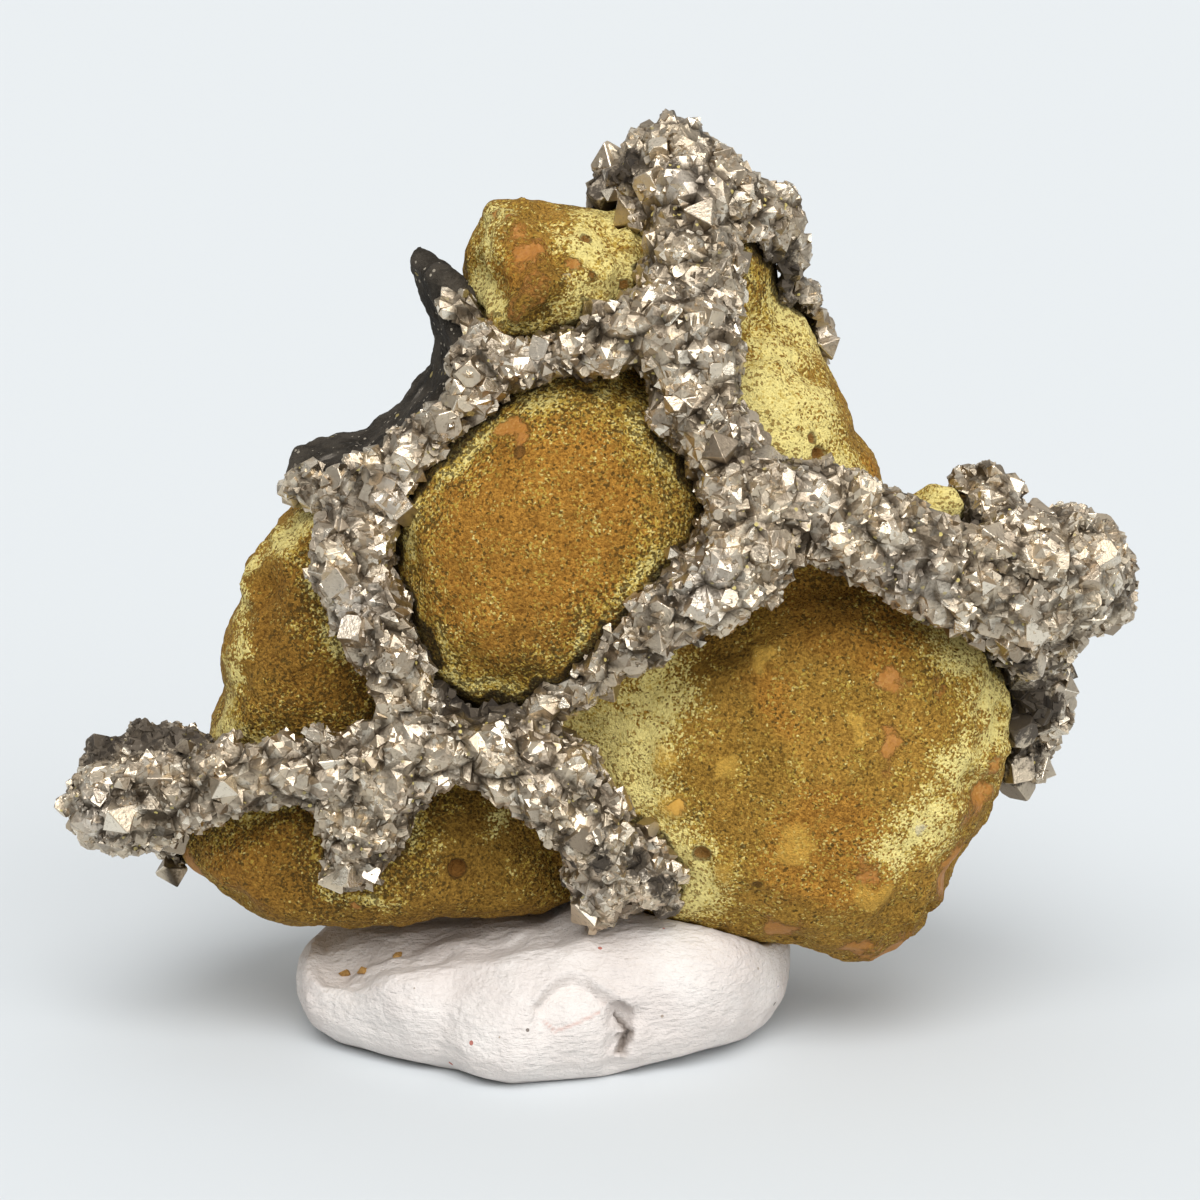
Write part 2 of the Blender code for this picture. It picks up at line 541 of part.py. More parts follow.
def make_pyrite(group, helpers, skin, rooms):
    """The ribs and their crystals under one skin, trimmed to the rock, the shale and the putty."""
    tree = BVHTree.FromObject(skin, bpy.context.evaluated_depsgraph_get())
    rng = random.Random(CRYSTAL_SEED)
    stamps = Stamps()
    for ribs, hugs in ((RIBS, False), (BACK_RIBS, True)):
        for stops in ribs.values():
            line = rib_line(stops, tree, hugs)
            for point, radius in line:
                stamps.add(BALL, point, radius)
            crystals_on(stamps, line, tree, rng)
    for x, y, z, radius, cube in SINGLE_CRYSTALS:
        turn = random_turn(Vector((0, -1, 0)), rng)
        stamps.add(CUBE if cube else OCTAHEDRON, Vector((x, y, z)) * MM, radius, turn)
    obj = stamps.object("pyrite_ribs", group)
    remeshed(obj, RIB_VOXEL, 0, RIB_TRIANGLES)
    keep_largest(obj)
    for room in (skin, *rooms):
        subtract(obj, room, solver="MANIFOLD")
    keep_largest(obj)
    return obj


def paint(obj):
    colour, roughness, metallic = COLOURS[obj.name]
    material = bpy.data.materials.new(obj.name)
    material.use_nodes = True
    shader = material.node_tree.nodes["Principled BSDF"]
    shader.inputs["Base Color"].default_value = (*colour, 1)
    shader.inputs["Roughness"].default_value = roughness
    shader.inputs["Metallic"].default_value = metallic
    obj.data.materials.clear()
    obj.data.materials.append(material)


def stand_on_origin(objects):
    """Moves everything so that the origin is on the ground under the middle of the whole."""
    corners = np.vstack([[v.co for v in obj.data.vertices] for obj in objects])
    low, high = corners.min(axis=0), corners.max(axis=0)
    middle = (low + high) / 2
    for obj in objects:
        obj.data.transform(Matrix.Translation((-middle[0], -middle[1], -low[2])))
    print("moved by, in mm:", [round(float(v) / MM, 2) for v in (-middle[0], -middle[1], -low[2])])


def main():
    clear_scene()
    group = collection("pyrite_specimen")
    helpers = collection("cutters")
    matrix, skin = make_matrix(group, helpers)
    shale, shale_room = make_shale(group, helpers, skin)
    putty, putty_room = make_putty(group, helpers, skin)
    pyrite = make_pyrite(group, helpers, skin, (shale_room, putty_room))
    pieces = (matrix, pyrite, shale, putty)
    stand_on_origin(pieces)
    for obj in pieces:
        paint(obj)


main()
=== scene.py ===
"""Dresses the pyrite specimen: rough ochre rock, ribs of pyrite crystals, dark shale and mounting putty.

Laid out as a Blender add-on and run as a script. Metres, +Z up, with the front of the specimen at -Y.
"""

import json
import math
import random
from collections import namedtuple
from types import SimpleNamespace

import bmesh
import bpy
import numpy as np
from bpy.props import FloatProperty, FloatVectorProperty, IntProperty, PointerProperty
from mathutils import Euler, Matrix, Vector, noise
from mathutils.bvhtree import BVHTree

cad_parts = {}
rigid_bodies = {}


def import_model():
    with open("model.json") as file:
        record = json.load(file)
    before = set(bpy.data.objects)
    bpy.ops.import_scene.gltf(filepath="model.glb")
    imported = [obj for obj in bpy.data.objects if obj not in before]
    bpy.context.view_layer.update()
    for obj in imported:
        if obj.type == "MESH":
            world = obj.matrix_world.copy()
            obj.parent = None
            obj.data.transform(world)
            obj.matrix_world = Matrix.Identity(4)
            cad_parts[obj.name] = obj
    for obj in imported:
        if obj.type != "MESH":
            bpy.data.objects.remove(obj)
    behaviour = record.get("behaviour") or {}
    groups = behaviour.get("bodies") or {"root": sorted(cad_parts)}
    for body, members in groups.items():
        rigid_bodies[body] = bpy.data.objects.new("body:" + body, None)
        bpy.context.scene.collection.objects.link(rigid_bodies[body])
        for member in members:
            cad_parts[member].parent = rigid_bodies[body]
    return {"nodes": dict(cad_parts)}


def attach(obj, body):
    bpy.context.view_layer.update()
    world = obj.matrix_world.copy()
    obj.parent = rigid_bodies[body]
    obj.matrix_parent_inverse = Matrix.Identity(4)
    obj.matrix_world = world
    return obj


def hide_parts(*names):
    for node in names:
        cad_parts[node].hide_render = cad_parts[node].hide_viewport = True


bl_info = {
    "name": "Pyrite specimen",
    "version": (1, 0, 0),
    "blender": (4, 5, 0),
    "location": "3D View > Sidebar > Specimen",
    "description": "Dresses a pyrite specimen on mounting putty",
    "category": "Object",
}

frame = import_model()
NODES = frame["nodes"]
MM = 0.001
BODY = "root"

# Places on the specimen, in millimetres: x, y, z and reach. The last few of a rock table are on its back.
# Pale yellow crust
SULPHUR = [(15.5, -9.7, 60.5, 6), (17.7, -10.2, 57.9, 5), (15.2, -5.4, 64.3, 5), (19.1, -7.5, 60.1, 5),
           (22, -9, 53, 5), (12.5, -12, 66, 4), (1.8, -12.4, 30.1, 6), (3.5, -13.9, 25, 5),
           (8, -13.9, 15.7, 4.5), (4.4, -11.7, 34.6, 5), (6.5, -14.5, 20.5, 4), (32.5, -8.3, 38.4, 3.6),
           (34.8, -9, 33, 4), (35.8, -8.2, 29.1, 4), (32.3, -12.4, 28.3, 3.6), (29.5, -14.1, 22.2, 4),
           (26.8, -14.8, 20.6, 3.2), (-33.2, -6.9, 38.3, 2.4), (-32.2, -5.4, 41.7, 2.4),
           (-30.4, -4.6, 45.2, 2.4), (-33.8, -7.2, 34.7, 2.4), (-28, -5.5, 49, 3), (-35.2, -6.5, 30, 2.5),
           (-14.5, -11.5, 21.5, 1.6), (-9.1, -10.1, 22.1, 1.8), (-7.3, -10.8, 16.6, 1.0),
           (-19.9, -12.8, 15.3, 0.9), (-2, -12, 12, 1.6), (1.8, -4.6, 75.4, 4), (-1.3, -9.5, 74.6, 3),
           (2.3, -9.5, 70.8, 4), (-2, -12, 70, 3), (-10.5, -8, 70, 3.4), (-9, -7, 75.5, 3),
           (30.4, -6.5, 50.2, 5), (15.8, 3, 63.8, 6), (10, 17, 50, 4), (-22, 11, 34, 4.5), (24, 16, 20, 4),
           (-8, 15, 56, 3.5), (-4, 14, 12, 3), (30, 12, 34, 4), (-15, 12, 28, 3), (16, 17, 44, 3)]
# Smooth, bare patches
SALMON = [(34, -9.6, 24.7, 2.6), (32.7, -9.9, 19.2, 2.8), (32, -8.6, 16, 3), (27.7, -6.7, 9.6, 3.4),
          (23.7, -10.3, 9.8, 2.6), (16.3, -12.7, 12.5, 2.2), (27.1, -13.8, 35.5, 2.3),
          (30.3, -12.4, 35.6, 1.6), (26.1, -15.6, 29.1, 1.5), (24.1, -15.4, 18.9, 1.3),
          (8.2, -15.6, 26.1, 1.2), (-9.7, -7.7, 76, 1.6), (-2.6, -11.9, 73, 1.5), (-7.4, -11.6, 73.2, 1.7),
          (-7.4, -15.4, 58.1, 1.8), (-22.4, -12.8, 15.3, 1.0), (-37.5, -6, 17, 2.5), (20, 16, 34, 4),
          (-14, 14, 24, 4), (6, 13, 12, 4)]
# Rusty middles
RUST = [(-6.1, -18.7, 50.5, 10), (-3.5, -18.3, 54.8, 7), (-9, -18, 46, 8), (-3, -18.5, 44, 7),
        (-10, -17, 54, 5), (15.9, -15.5, 35.8, 3.5), (21.4, -10.3, 42.5, 5), (25, -11, 40.8, 5),
        (21, -16, 21, 6), (-26.8, -11.4, 40.9, 6), (-24.2, -11.8, 35.5, 6), (-27.1, -12.3, 19.9, 6),
        (-32, -11.8, 17, 5), (-8, -11, 72, 3), (24, -8, 51, 3), (25, -3, 52, 3), (0, 17, 40, 12),
        (-16, 14, 44, 8), (26, 15, 26, 8), (18, 10, 56, 7)]
# Brown places, partly the rock's own umber and partly painted shade, as on the shoulder, the left foot and
# under the right rib
UMBER = [(-26.8, -11.4, 39.5, 9), (-24.2, -11.8, 34, 8), (-14, -11.5, 20, 11), (-25, -12.5, 18, 9),
         (21.4, -10.3, 43.5, 6), (10, -11, 38, 5), (-6, -16, 38, 5), (-10, 13, 30, 8), (-4.5, -13, 69, 4.5)]
# Raised golden blobs on the right foot, seen from the front
GOLD = [(7.7, 0, 26, 1.6), (18.3, 0, 22, 1.9), (11.3, 0, 18.8, 1.3), (5.3, 0, 29.5, 1.4),
        (22.5, 0, 31.5, 1.2), (15, 0, 38, 1.0), (12, 0, 30, 0.9), (24, 0, 17, 1.3)]
# Chalky spots
PALE = [(-3.0, -12.5, 71.6, 1.0), (28.6, -13.9, 22.6, 1.1)]
# Ringed pits, with their radius
PITS = [(19.5, -9.5, 55.5, 0.9), (19, -9.8, 57.2, 0.6), (-13, -11.4, 18, 0.95), (9.1, -15.1, 20.4, 0.85),
        (14, -15.8, 17.3, 0.8), (-1.3, -9.5, 74.6, 0.5), (1.7, -5.4, 75.2, 0.5), (2.3, -9.5, 70.8, 0.5),
        (-0.6, -12.1, 71.9, 0.5), (-7, -16.4, 57, 0.6), (16, 17, 44, 1.1), (-12, 14, 30, 1.0),
        (8, 17, 24, 1.2), (-26, 9, 26, 0.9)]
# Craggy places
RUGGED = [(-8, -9, 73, 7), (0, -9, 73, 6), (36, -9, 30, 7), (30, -10, 12, 8), (16.2, -4.5, 65, 5)]
# Smooth ridges on the rock, as x and z seen from the front
RIDGES = [[(-7.2, 75.6), (-6.4, 73.0), (-7.0, 70.7), (-7.7, 68.4)],
          [(-31.3, 42.6), (-28.0, 46.6), (-24.5, 50.0)]]
# Dark crystals: partly a dark coating and partly painted shade on the ribs' flanks and under overhangs
COAT_AND_SHADE_SPOTS = [(-0.9, 1, 77.1, 3.8), (1.8, -3.2, 80.6, 2.4), (15.3, -2.1, 70.2, 4.5), (18.2, 0.4, 65.4, 3.6),
        (-41, -8.5, 31, 4), (-37.1, -9.4, 30.2, 3.6), (-45, -7, 28, 3), (39.5, -4.4, 30.9, 4),
        (37.5, -12.5, 36.6, 2), (-13.4, -13.9, 35.1, 2.6), (0, -19.7, 21.6, 1.3), (-2.7, -20.5, 23.2, 1.2),
        (-8.9, -14.5, 33.4, 3), (18.7, -11.2, 46, 2.4), (32.2, -8.3, 49.4, 2.6), (-5, -12.5, 16.5, 3),
        (38, 1, 26, 4), (5.5, -13, 14, 2.5), (-16.3, -12, 46, 2.4), (-15.8, -12.8, 42, 2.2),
        (-15.2, -13.4, 38.5, 2.0), (36.4, -6.6, 30.6, 3), (-3, -17.6, 20.4, 1.5), (0, -18.6, 20.2, 1.5),
        (3.2, -16.2, 19.8, 1.8), (5.3, -15, 17.5, 2)]
# Bright crystals
SILVER = [(8.6, -21.9, 45.9, 3.4), (-21.9, -17.4, 44, 3), (27, -17.9, 45, 3.4), (-18, -15, 53, 2.6),
          (12, -17, 43, 2), (-45.2, -12, 23, 3), (42, -8, 44, 4), (-5, -15, 65.7, 1.6), (7, -10, 81, 3),
          (-1, -15.5, 17, 2)]
# Where the crust is fine-grained, with hardly a large crystal
FINE_CRUST = [(8.6, -21.5, 45.5, 4.5), (-18.4, -17, 43, 3), (-10, -16, 30, 5), (-5, -17, 28, 4),
              (27, -17.9, 45, 4), (-29, -16, 28, 4), (20, -17, 52, 3), (4, -15.5, 66, 3)]
# Where the crust is all crystals that stand out
COARSE_CRUST = [(42, -8, 44, 9), (36, -10, 40, 6), (-21, -16, 44, 5), (0, -6, 79, 7), (-45, -9, 24, 5),
                (41, 0, 28, 6), (9, -12, 72, 6), (30, 8, 44, 8), (-20, 10, 40, 8)]
# Single crystals that stand out: x, y, z, radius and whether it is a cube
SHOWN = [(-21.6, -16.2, 44.3, 3.3, False), (-23.2, -16.0, 47.5, 2.3, False),
         (-19.3, -13.2, 53.2, 2.7, True), (-22.9, -12.3, 54.0, 1.9, True), (-17.3, -14.0, 51.4, 2.1, True),
         (-5.2, -14.1, 65.7, 1.8, True), (-3.1, -17.2, 34.6, 1.25, False), (-2.2, -19.3, 30.4, 1.5, False),
         (-24.1, -13.6, 31.0, 1.5, False), (36.2, -13.6, 39.4, 2.3, False), (41.8, -8.9, 37.9, 2.4, False),
         (43.0, -3.0, 32.6, 2.2, False), (42.4, -2.6, 29.0, 2.2, False), (35.5, -5.6, 53.0, 2.2, False),
         (1.9, -18.9, 40.3, 1.8, False), (10.3, -16.6, 58.3, 2.0, False), (7.0, -15.6, 67.6, 2.1, False),
         (31.8, -15.5, 41.6, 1.9, False), (46.5, -7.0, 46.0, 2.0, False), (2.4, -16.2, 17.2, 2.0, False),
         (-20.8, -14.6, 19.2, 1.7, False)]
# Dusty spots on the shale
SHALE_DUST = [(-27.5, -8.5, 53.2, 2.6), (-17, 0, 60, 1.3), (-25, -4, 54.5, 1.5)]
# Finger marks on the putty: x, y, z, reach and depth
FINGER_MARKS = [(-23.5, -8.5, 7.5, 5, 0.7), (-17, -8.5, 9.5, 5, 0.8), (-10, -10.5, 11, 4.5, 0.8),
                (-4, -12, 12, 3.5, 0.6)]
# Lines on the putty, as x and z seen from the front: the lip of its thumb dent, which curls up at its left
# end, the folded flap, the torn crack and a red line
LIP = [(-26.9, 6.4), (-25.4, 5.7), (-23.7, 6.0), (-21.8, 7.0), (-19.3, 8.1), (-14.4, 9.2), (-7.2, 10.7),
       (-1.2, 11.8)]
LIP_CURL = (-26.6, 7.6)
FLAP = [(-5.6, 8.2), (-4.8, 9.2), (-3.6, 9.9), (-2.4, 10.2), (-1.2, 9.8), (1.1, 8.3), (2.7, 7.0)]
CRACK = [(1.7, 6.2), (2.3, 5.2), (2.6, 4.5), (2.0, 3.6), (1.9, 2.7)]
RED_LINE = [(-4.9, 6.5), (-4.0, 5.6), (-2.2, 6.3), (0.2, 6.9)]
# Crumbs of the rock on the putty: x, y and size
CRUMBS = [(-23.6, -5.8, 1.0), (-21.9, -7.2, 1.0), (-18.8, -6.6, 0.9)]


class RockSizes(bpy.types.PropertyGroup):
    """Sizes and colours of the ochre rock"""

    voxel: FloatProperty(name="Rock grid", description="Spacing of the rock's surface mesh, in millimetres",
                         default=0.44, min=0.3, max=2.0)
    lumps: FloatProperty(name="Lumps", description="Height of the rock's broad lumps, in millimetres",
                         default=0.45, min=0.0, max=2.0)
    grit: FloatProperty(name="Grit", description="Height of the rock's gritty surface, in millimetres",
                        default=0.15, min=0.0, max=1.0)
    ochre: FloatVectorProperty(name="Ochre", description="Main colour of the rock", subtype="COLOR",
                               default=(0.40, 0.215, 0.036), min=0, max=1)
    sulphur: FloatVectorProperty(name="Sulphur yellow", description="Colour of the pale crust on the rock",
                                 subtype="COLOR", default=(0.98, 0.84, 0.32), min=0, max=1)
    salmon: FloatVectorProperty(name="Salmon", description="Colour of the smooth, bare patches",
                                subtype="COLOR", default=(0.47, 0.21, 0.06), min=0, max=1)
    rust: FloatVectorProperty(name="Rust", description="Colour of the rusty middles", subtype="COLOR",
                              default=(0.40, 0.178, 0.024), min=0, max=1)


class CrystalSizes(bpy.types.PropertyGroup):
    """Sizes and colour of the pyrite crystals"""

    skin: FloatProperty(name="Rib grid", description="Spacing of the ribs' surface mesh, in millimetres",
                        default=0.40, min=0.3, max=2.0)
    mosaic: FloatProperty(name="Mosaic", description="Share of the skin's faces that is kept as flat facets",
                          default=0.16, min=0.02, max=1.0)
    large: FloatProperty(name="Large crystals", description="Radius of the largest crystals, in millimetres",
                         default=2.3, min=0.5, max=4.0)
    fine: FloatProperty(name="Fine crystals", description="Radius of the smallest crystals, in millimetres",
                        default=0.34, min=0.1, max=1.0)
    seed: IntProperty(name="Seed", description="Another number gives another arrangement of crystals",
                      default=4)
    metal: FloatVectorProperty(name="Pyrite", description="Colour of the crystals", subtype="COLOR",
                               default=(0.68, 0.57, 0.42), min=0, max=1)


class ShaleSizes(bpy.types.PropertyGroup):
    """Colour of the shale"""

    colour: FloatVectorProperty(name="Shale", description="Lighter colour of the dull stone", subtype="COLOR",
                                default=(0.075, 0.062, 0.047), min=0, max=1)


class PuttySizes(bpy.types.PropertyGroup):
    """Sizes and colour of the mounting putty"""

    voxel: FloatProperty(name="Putty grid", description="Spacing of the putty's surface mesh, in millimetres",
                         default=0.27, min=0.2, max=2.0)
    flap: FloatProperty(name="Flap", description="Depth of the fold inside the flap's edge, in millimetres",
                        default=1.2, min=0.0, max=3.0)
    colour: FloatVectorProperty(name="Putty", description="Colour of the putty", subtype="COLOR",
                                default=(0.80, 0.75, 0.71), min=0, max=1)


class StageSizes(bpy.types.PropertyGroup):
    """The camera, the lights and the backdrop"""

    lens: FloatProperty(name="Lens", description="Focal length of the camera, in millimetres",
                        default=103.3, min=20, max=300)
    distance: FloatProperty(name="Distance", description="From the camera to the specimen's middle",
                            subtype="DISTANCE", unit="LENGTH", default=0.320, min=0.1, max=2.0)
    elevation: FloatProperty(name="Elevation", description="Angle of the camera above level",
                             subtype="ANGLE", default=math.radians(12), min=0, max=math.radians(80))
    key: FloatProperty(name="Key light", description="Strength of the soft light from above",
                       default=1.85, min=0.0, max=10.0)
    fill: FloatProperty(name="Fill light", description="Strength of the soft light from the right",
                        default=1.15, min=0.0, max=10.0)
    backdrop: FloatVectorProperty(name="Backdrop", description="Colour of the floor and backdrop",
                                  subtype="COLOR", default=(0.676, 0.709, 0.731), min=0, max=1)


# Mesh helpers


def merged_copy(node, name):
    """A copy of a CAD node whose loose triangles are joined at their corners."""
    bm = bmesh.new()
    bm.from_mesh(NODES[node].data)
    bmesh.ops.remove_doubles(bm, verts=bm.verts, dist=1e-6)
    return object_from(bm, name)


def object_from(bm, name):
    """A new object at the origin that holds this bmesh, which is freed."""
    mesh = bpy.data.meshes.new(name)
    bm.to_mesh(mesh)
    bm.free()
    obj = bpy.data.objects.new(name, mesh)
    bpy.context.scene.collection.objects.link(obj)
    return obj


def applied(obj):
    """Replaces the object's mesh by what its modifiers make of it."""
    bpy.context.view_layer.update()
    evaluated = obj.evaluated_get(bpy.context.evaluated_depsgraph_get())
    obj.data = bpy.data.meshes.new_from_object(evaluated)
    obj.modifiers.clear()
    return obj


def reskinned(obj, voxel, smoothing):
    """An even mesh over the object, with its edges rounded by smoothing."""
    remesh = obj.modifiers.new("even", "REMESH")
    remesh.mode = "VOXEL"
    remesh.voxel_size = voxel * MM
    smooth = obj.modifiers.new("smooth", "SMOOTH")
    smooth.factor = 0.5
    smooth.iterations = smoothing
    return applied(obj)


def joined(parts, name):
    """A new object that holds all of these bmeshes, which are freed."""
    whole = bmesh.new()
    scratch = bpy.data.meshes.new("scratch")
    for part in parts:
        part.to_mesh(scratch)
        part.free()
        whole.from_mesh(scratch)
    bpy.data.meshes.remove(scratch)
    return object_from(whole, name)


def corners_of(obj):
    """The mesh's corners as rows of x, y and z, in millimetres."""
    corners = np.empty(len(obj.data.vertices) * 3)
    obj.data.vertices.foreach_get("co", corners)
    return corners.reshape(-1, 3) / MM


def normals_of(obj):
    """The directions in which the mesh's corners face."""
    normals = np.empty(len(obj.data.vertices) * 3)
    obj.data.vertices.foreach_get("normal", normals)
    return normals.reshape(-1, 3)


def raise_surface(obj, heights):
    """Moves each vertex along its normal by its height, in millimetres."""
    corners = corners_of(obj) + normals_of(obj) * heights[:, None]
    obj.data.vertices.foreach_set("co", (corners * MM).ravel())
    obj.data.update()


def bumps(corners, size, seed, stretch=(1, 1, 1)):
    """Smooth noise from about -1 to 1 with lumps of this size, in millimetres."""
    shift = Vector((seed, seed * 0.7, -seed * 1.3))
    scaled = corners / np.array(stretch) / size
    return np.array([noise.noise(Vector(point) + shift) for point in scaled])


def lumps(corners, size):
    """Rounded lumps of this size: 0 in the creases between them, rising to 1 at their middles."""
    crease = np.empty(len(corners))
    for i, point in enumerate(corners / size):
        distances, _ = noise.voronoi(Vector(point))
        crease[i] = distances[1] - distances[0]
    return np.clip(crease * 1.6, 0, 1) ** 0.6


def warped(corners):
    """The points moved about a little, so that a spot measured from them gets an irregular outline."""
    wide = np.stack([bumps(corners, 6.0, seed) for seed in (41, 43, 47)], axis=1)
    narrow = np.stack([bumps(corners, 2.0, seed) for seed in (51, 53, 57)], axis=1)
    return corners + 2.4 * wide + 1.1 * narrow


def near_spots(corners, spots):
    """1 at the middle of each spot, falling to 0 beyond its reach."""
    mask = np.zeros(len(corners))
    for x, y, z, reach in spots:
        away = np.linalg.norm(corners - (x, y, z), axis=1) / reach
        mask = np.maximum(mask, np.clip(1.35 - away, 0, 1))
    return mask


def distance_to(corners, node):
    """How far each point is from a CAD node, in millimetres."""
    copy = merged_copy(node, "near")
    tree = BVHTree.FromObject(copy, bpy.context.evaluated_depsgraph_get())
    bpy.data.objects.remove(copy)
    return np.array([tree.find_nearest(Vector(point) * MM)[3] / MM for point in corners])


def distance_to_path(corners, path):
    """How far each point is, seen from the front, from a path of points x and z, in millimetres."""
    flat = corners[:, [0, 2]]
    best = np.full(len(flat), 1e9)
    for start, end in zip(path, path[1:]):
        start, end = np.array(start, float), np.array(end, float)
        run = end - start
        share = np.clip(((flat - start) @ run) / (run @ run), 0, 1)
        best = np.minimum(best, np.linalg.norm(flat - start - share[:, None] * run, axis=1))
    return best


def height_of(corners, path):
    """The height of a path at each point, seen from the front, in millimetres."""
    return np.interp(corners[:, 0], [x for x, _ in path], [z for _, z in path])


def craters(corners, pits):
    """Heights of ringed pits, and a mask of their floors."""
    heights, floors = np.zeros(len(corners)), np.zeros(len(corners))
    for x, y, z, radius in pits:
        away = np.linalg.norm(corners - (x, y, z), axis=1) / radius
        heights -= 0.75 * radius * np.clip(1 - away, 0, 1) ** 0.7
        heights += 0.22 * np.exp(-((away - 1.25) / 0.3) ** 2)
        floors = np.maximum(floors, np.clip(1.25 - away, 0, 1))
    return heights, floors


def store(obj, name, values, domain="POINT"):
    """Stores a value for each corner or face, for the materials to read."""
    old = obj.data.attributes.get(name)
    if old:
        obj.data.attributes.remove(old)
    attribute = obj.data.attributes.new(name, "FLOAT", domain)
    attribute.data.foreach_set("value", values.astype(np.float32))


def finish_piece(obj, material, slot_name, *nodes):
    """Gives a piece its material and body, and hides the CAD nodes that it replaces. Its slot name is not
    used.
    """
    obj.data.materials.clear()
    obj.data.materials.append(material)
    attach(obj, BODY)
    if nodes:
        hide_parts(*nodes)


# Materials


def linked(tree, kind, inputs=None, **settings):
    """Adds a node, sets its options, and sets or links its inputs by name or number."""
    node = tree.nodes.new(kind)
    for name, value in settings.items():
        setattr(node, name, value)
    for name, value in (inputs or {}).items():
        if isinstance(value, bpy.types.NodeSocket):
            tree.links.new(value, node.inputs[name])
        else:
            node.inputs[name].default_value = value
    return node


def attribute(tree, name):
    """A value that the mesh stores under this name."""
    return linked(tree, "ShaderNodeAttribute", attribute_name=name).outputs["Fac"]


def noise_at(tree, scale, detail=2.0, roughness=0.5, vector=None):
    """Noise on object coordinates; scale is in lumps per metre."""
    inputs = {"Scale": scale, "Detail": detail, "Roughness": roughness}
    place = vector or linked(tree, "ShaderNodeTexCoord").outputs["Object"]
    return linked(tree, "ShaderNodeTexNoise", {"Vector": place, **inputs}).outputs["Fac"]


def ramp(tree, value, low, high):
    """0 below low and 1 above high, smooth between."""
    inputs = {"Value": value, "From Min": low, "From Max": high}
    return linked(tree, "ShaderNodeMapRange", inputs, interpolation_type="SMOOTHSTEP").outputs["Result"]


def between(tree, share, low, high):
    """A value that goes from low to high as the share goes from 0 to 1."""
    return linked(tree, "ShaderNodeMapRange", {"Value": share, "To Min": low, "To Max": high}).outputs[0]


def maths(tree, operation, first, second=0.0):
    """The result of one sum, product or comparison."""
    return linked(tree, "ShaderNodeMath", {0: first, 1: second}, operation=operation).outputs[0]


def total(tree, *terms):
    """The sum of terms, each a value, or a value and its weight."""
    result = None
    for term in terms:
        value = maths(tree, "MULTIPLY", *term) if isinstance(term, tuple) else term
        result = value if result is None else maths(tree, "ADD", result, value)
    return result


def mixed(tree, share, first, second, blend="MIX"):
    """A blend of two colours. A plain colour is given as three numbers."""
    inputs = {0: share}
    for socket, colour in ((6, first), (7, second)):
        inputs[socket] = colour if isinstance(colour, bpy.types.NodeSocket) else (*colour, 1)
    node = linked(tree, "ShaderNodeMix", inputs, data_type="RGBA", blend_type=blend, clamp_factor=True)
    return node.outputs[2]


def painted(tree, colour, mask, strength, paint):
    """The colour with paint over it where the mask is, at this strength."""
    return mixed(tree, maths(tree, "MULTIPLY", mask, strength), colour, paint)


def grains_group():
    """Grains: each small cell draws two lots from 0 to 1, and is rounded towards its rim."""
    name = "grains"
    if name in bpy.data.node_groups:
        return bpy.data.node_groups[name]
    group = bpy.data.node_groups.new(name, "ShaderNodeTree")
    socket = group.interface.new_socket(name="Per metre", in_out="INPUT", socket_type="NodeSocketFloat")
    socket.default_value = 3500.0
    for label in ("First lot", "Second lot", "Dome"):
        group.interface.new_socket(name=label, in_out="OUTPUT", socket_type="NodeSocketFloat")
    entry = group.nodes.new("NodeGroupInput")
    out = group.nodes.new("NodeGroupOutput")
    place = linked(group, "ShaderNodeTexCoord").outputs["Object"]
    cells = linked(group, "ShaderNodeTexVoronoi", {"Vector": place, "Scale": entry.outputs["Per metre"]})
    lots = linked(group, "ShaderNodeSeparateColor", {"Color": cells.outputs["Color"]})
    group.links.new(lots.outputs[0], out.inputs["First lot"])
    group.links.new(lots.outputs[1], out.inputs["Second lot"])
    group.links.new(maths(group, "SUBTRACT", 1.0, cells.outputs["Distance"]), out.inputs["Dome"])
    return group


def grains(tree, per_metre):
    """The lots and domes of a grain group with this many grains per metre."""
    node = tree.nodes.new("ShaderNodeGroup")
    node.node_tree = grains_group()
    node.inputs["Per metre"].default_value = per_metre
    return node.outputs


def specks(tree, per_metre, share, size):
    """A mask of scattered round specks: a share of the grains, each this large in its cell."""
    grain = grains(tree, per_metre)
    chosen = maths(tree, "LESS_THAN", grain["First lot"], share)
    return maths(tree, "MULTIPLY", chosen, maths(tree, "GREATER_THAN", grain["Dome"], 1 - size))


def new_material(name):
    """A material with its tree and its Principled shader."""
    material = bpy.data.materials.new(name)
    material.use_nodes = True
    return material, material.node_tree, material.node_tree.nodes["Principled BSDF"]


def bump(tree, shader, height, strength, depth):
    """Bumps on the shader, with their depth in millimetres."""
    inputs = {"Height": height, "Strength": strength, "Distance": depth * MM}
    tree.links.new(linked(tree, "ShaderNodeBump", inputs).outputs["Normal"], shader.inputs["Normal"])


# Colours of the rock, besides those in its sizes. The first two lighten and darken the colour below them. The
# umber is partly painted shade, and the contact colour is painted shade along the ribs.
GRAIN_LIGHT = (1.65, 1.6, 1.5)
GRAIN_SHADE = (0.50, 0.46, 0.38)
GRAIN_GOLD = (0.64, 0.43, 0.10)
DARK_OCHRE = (0.31, 0.168, 0.024)
UMBER_AND_SHADE = (0.15, 0.072, 0.007)
WORN_SALMON = (0.34, 0.125, 0.022)
DEEP_YELLOW = (0.58, 0.39, 0.068)
BLACK_SPECK = (0.075, 0.043, 0.008)
BROWN_SPECK = (0.28, 0.155, 0.026)
GOLD_BLOB = (0.74, 0.44, 0.08)
CHALK = (0.66, 0.58, 0.40)
PIT_RIM = (0.08, 0.038, 0.01)
PIT_FLOOR = (0.30, 0.135, 0.028)
CONTACT_SHADE = (0.03, 0.021, 0.01)


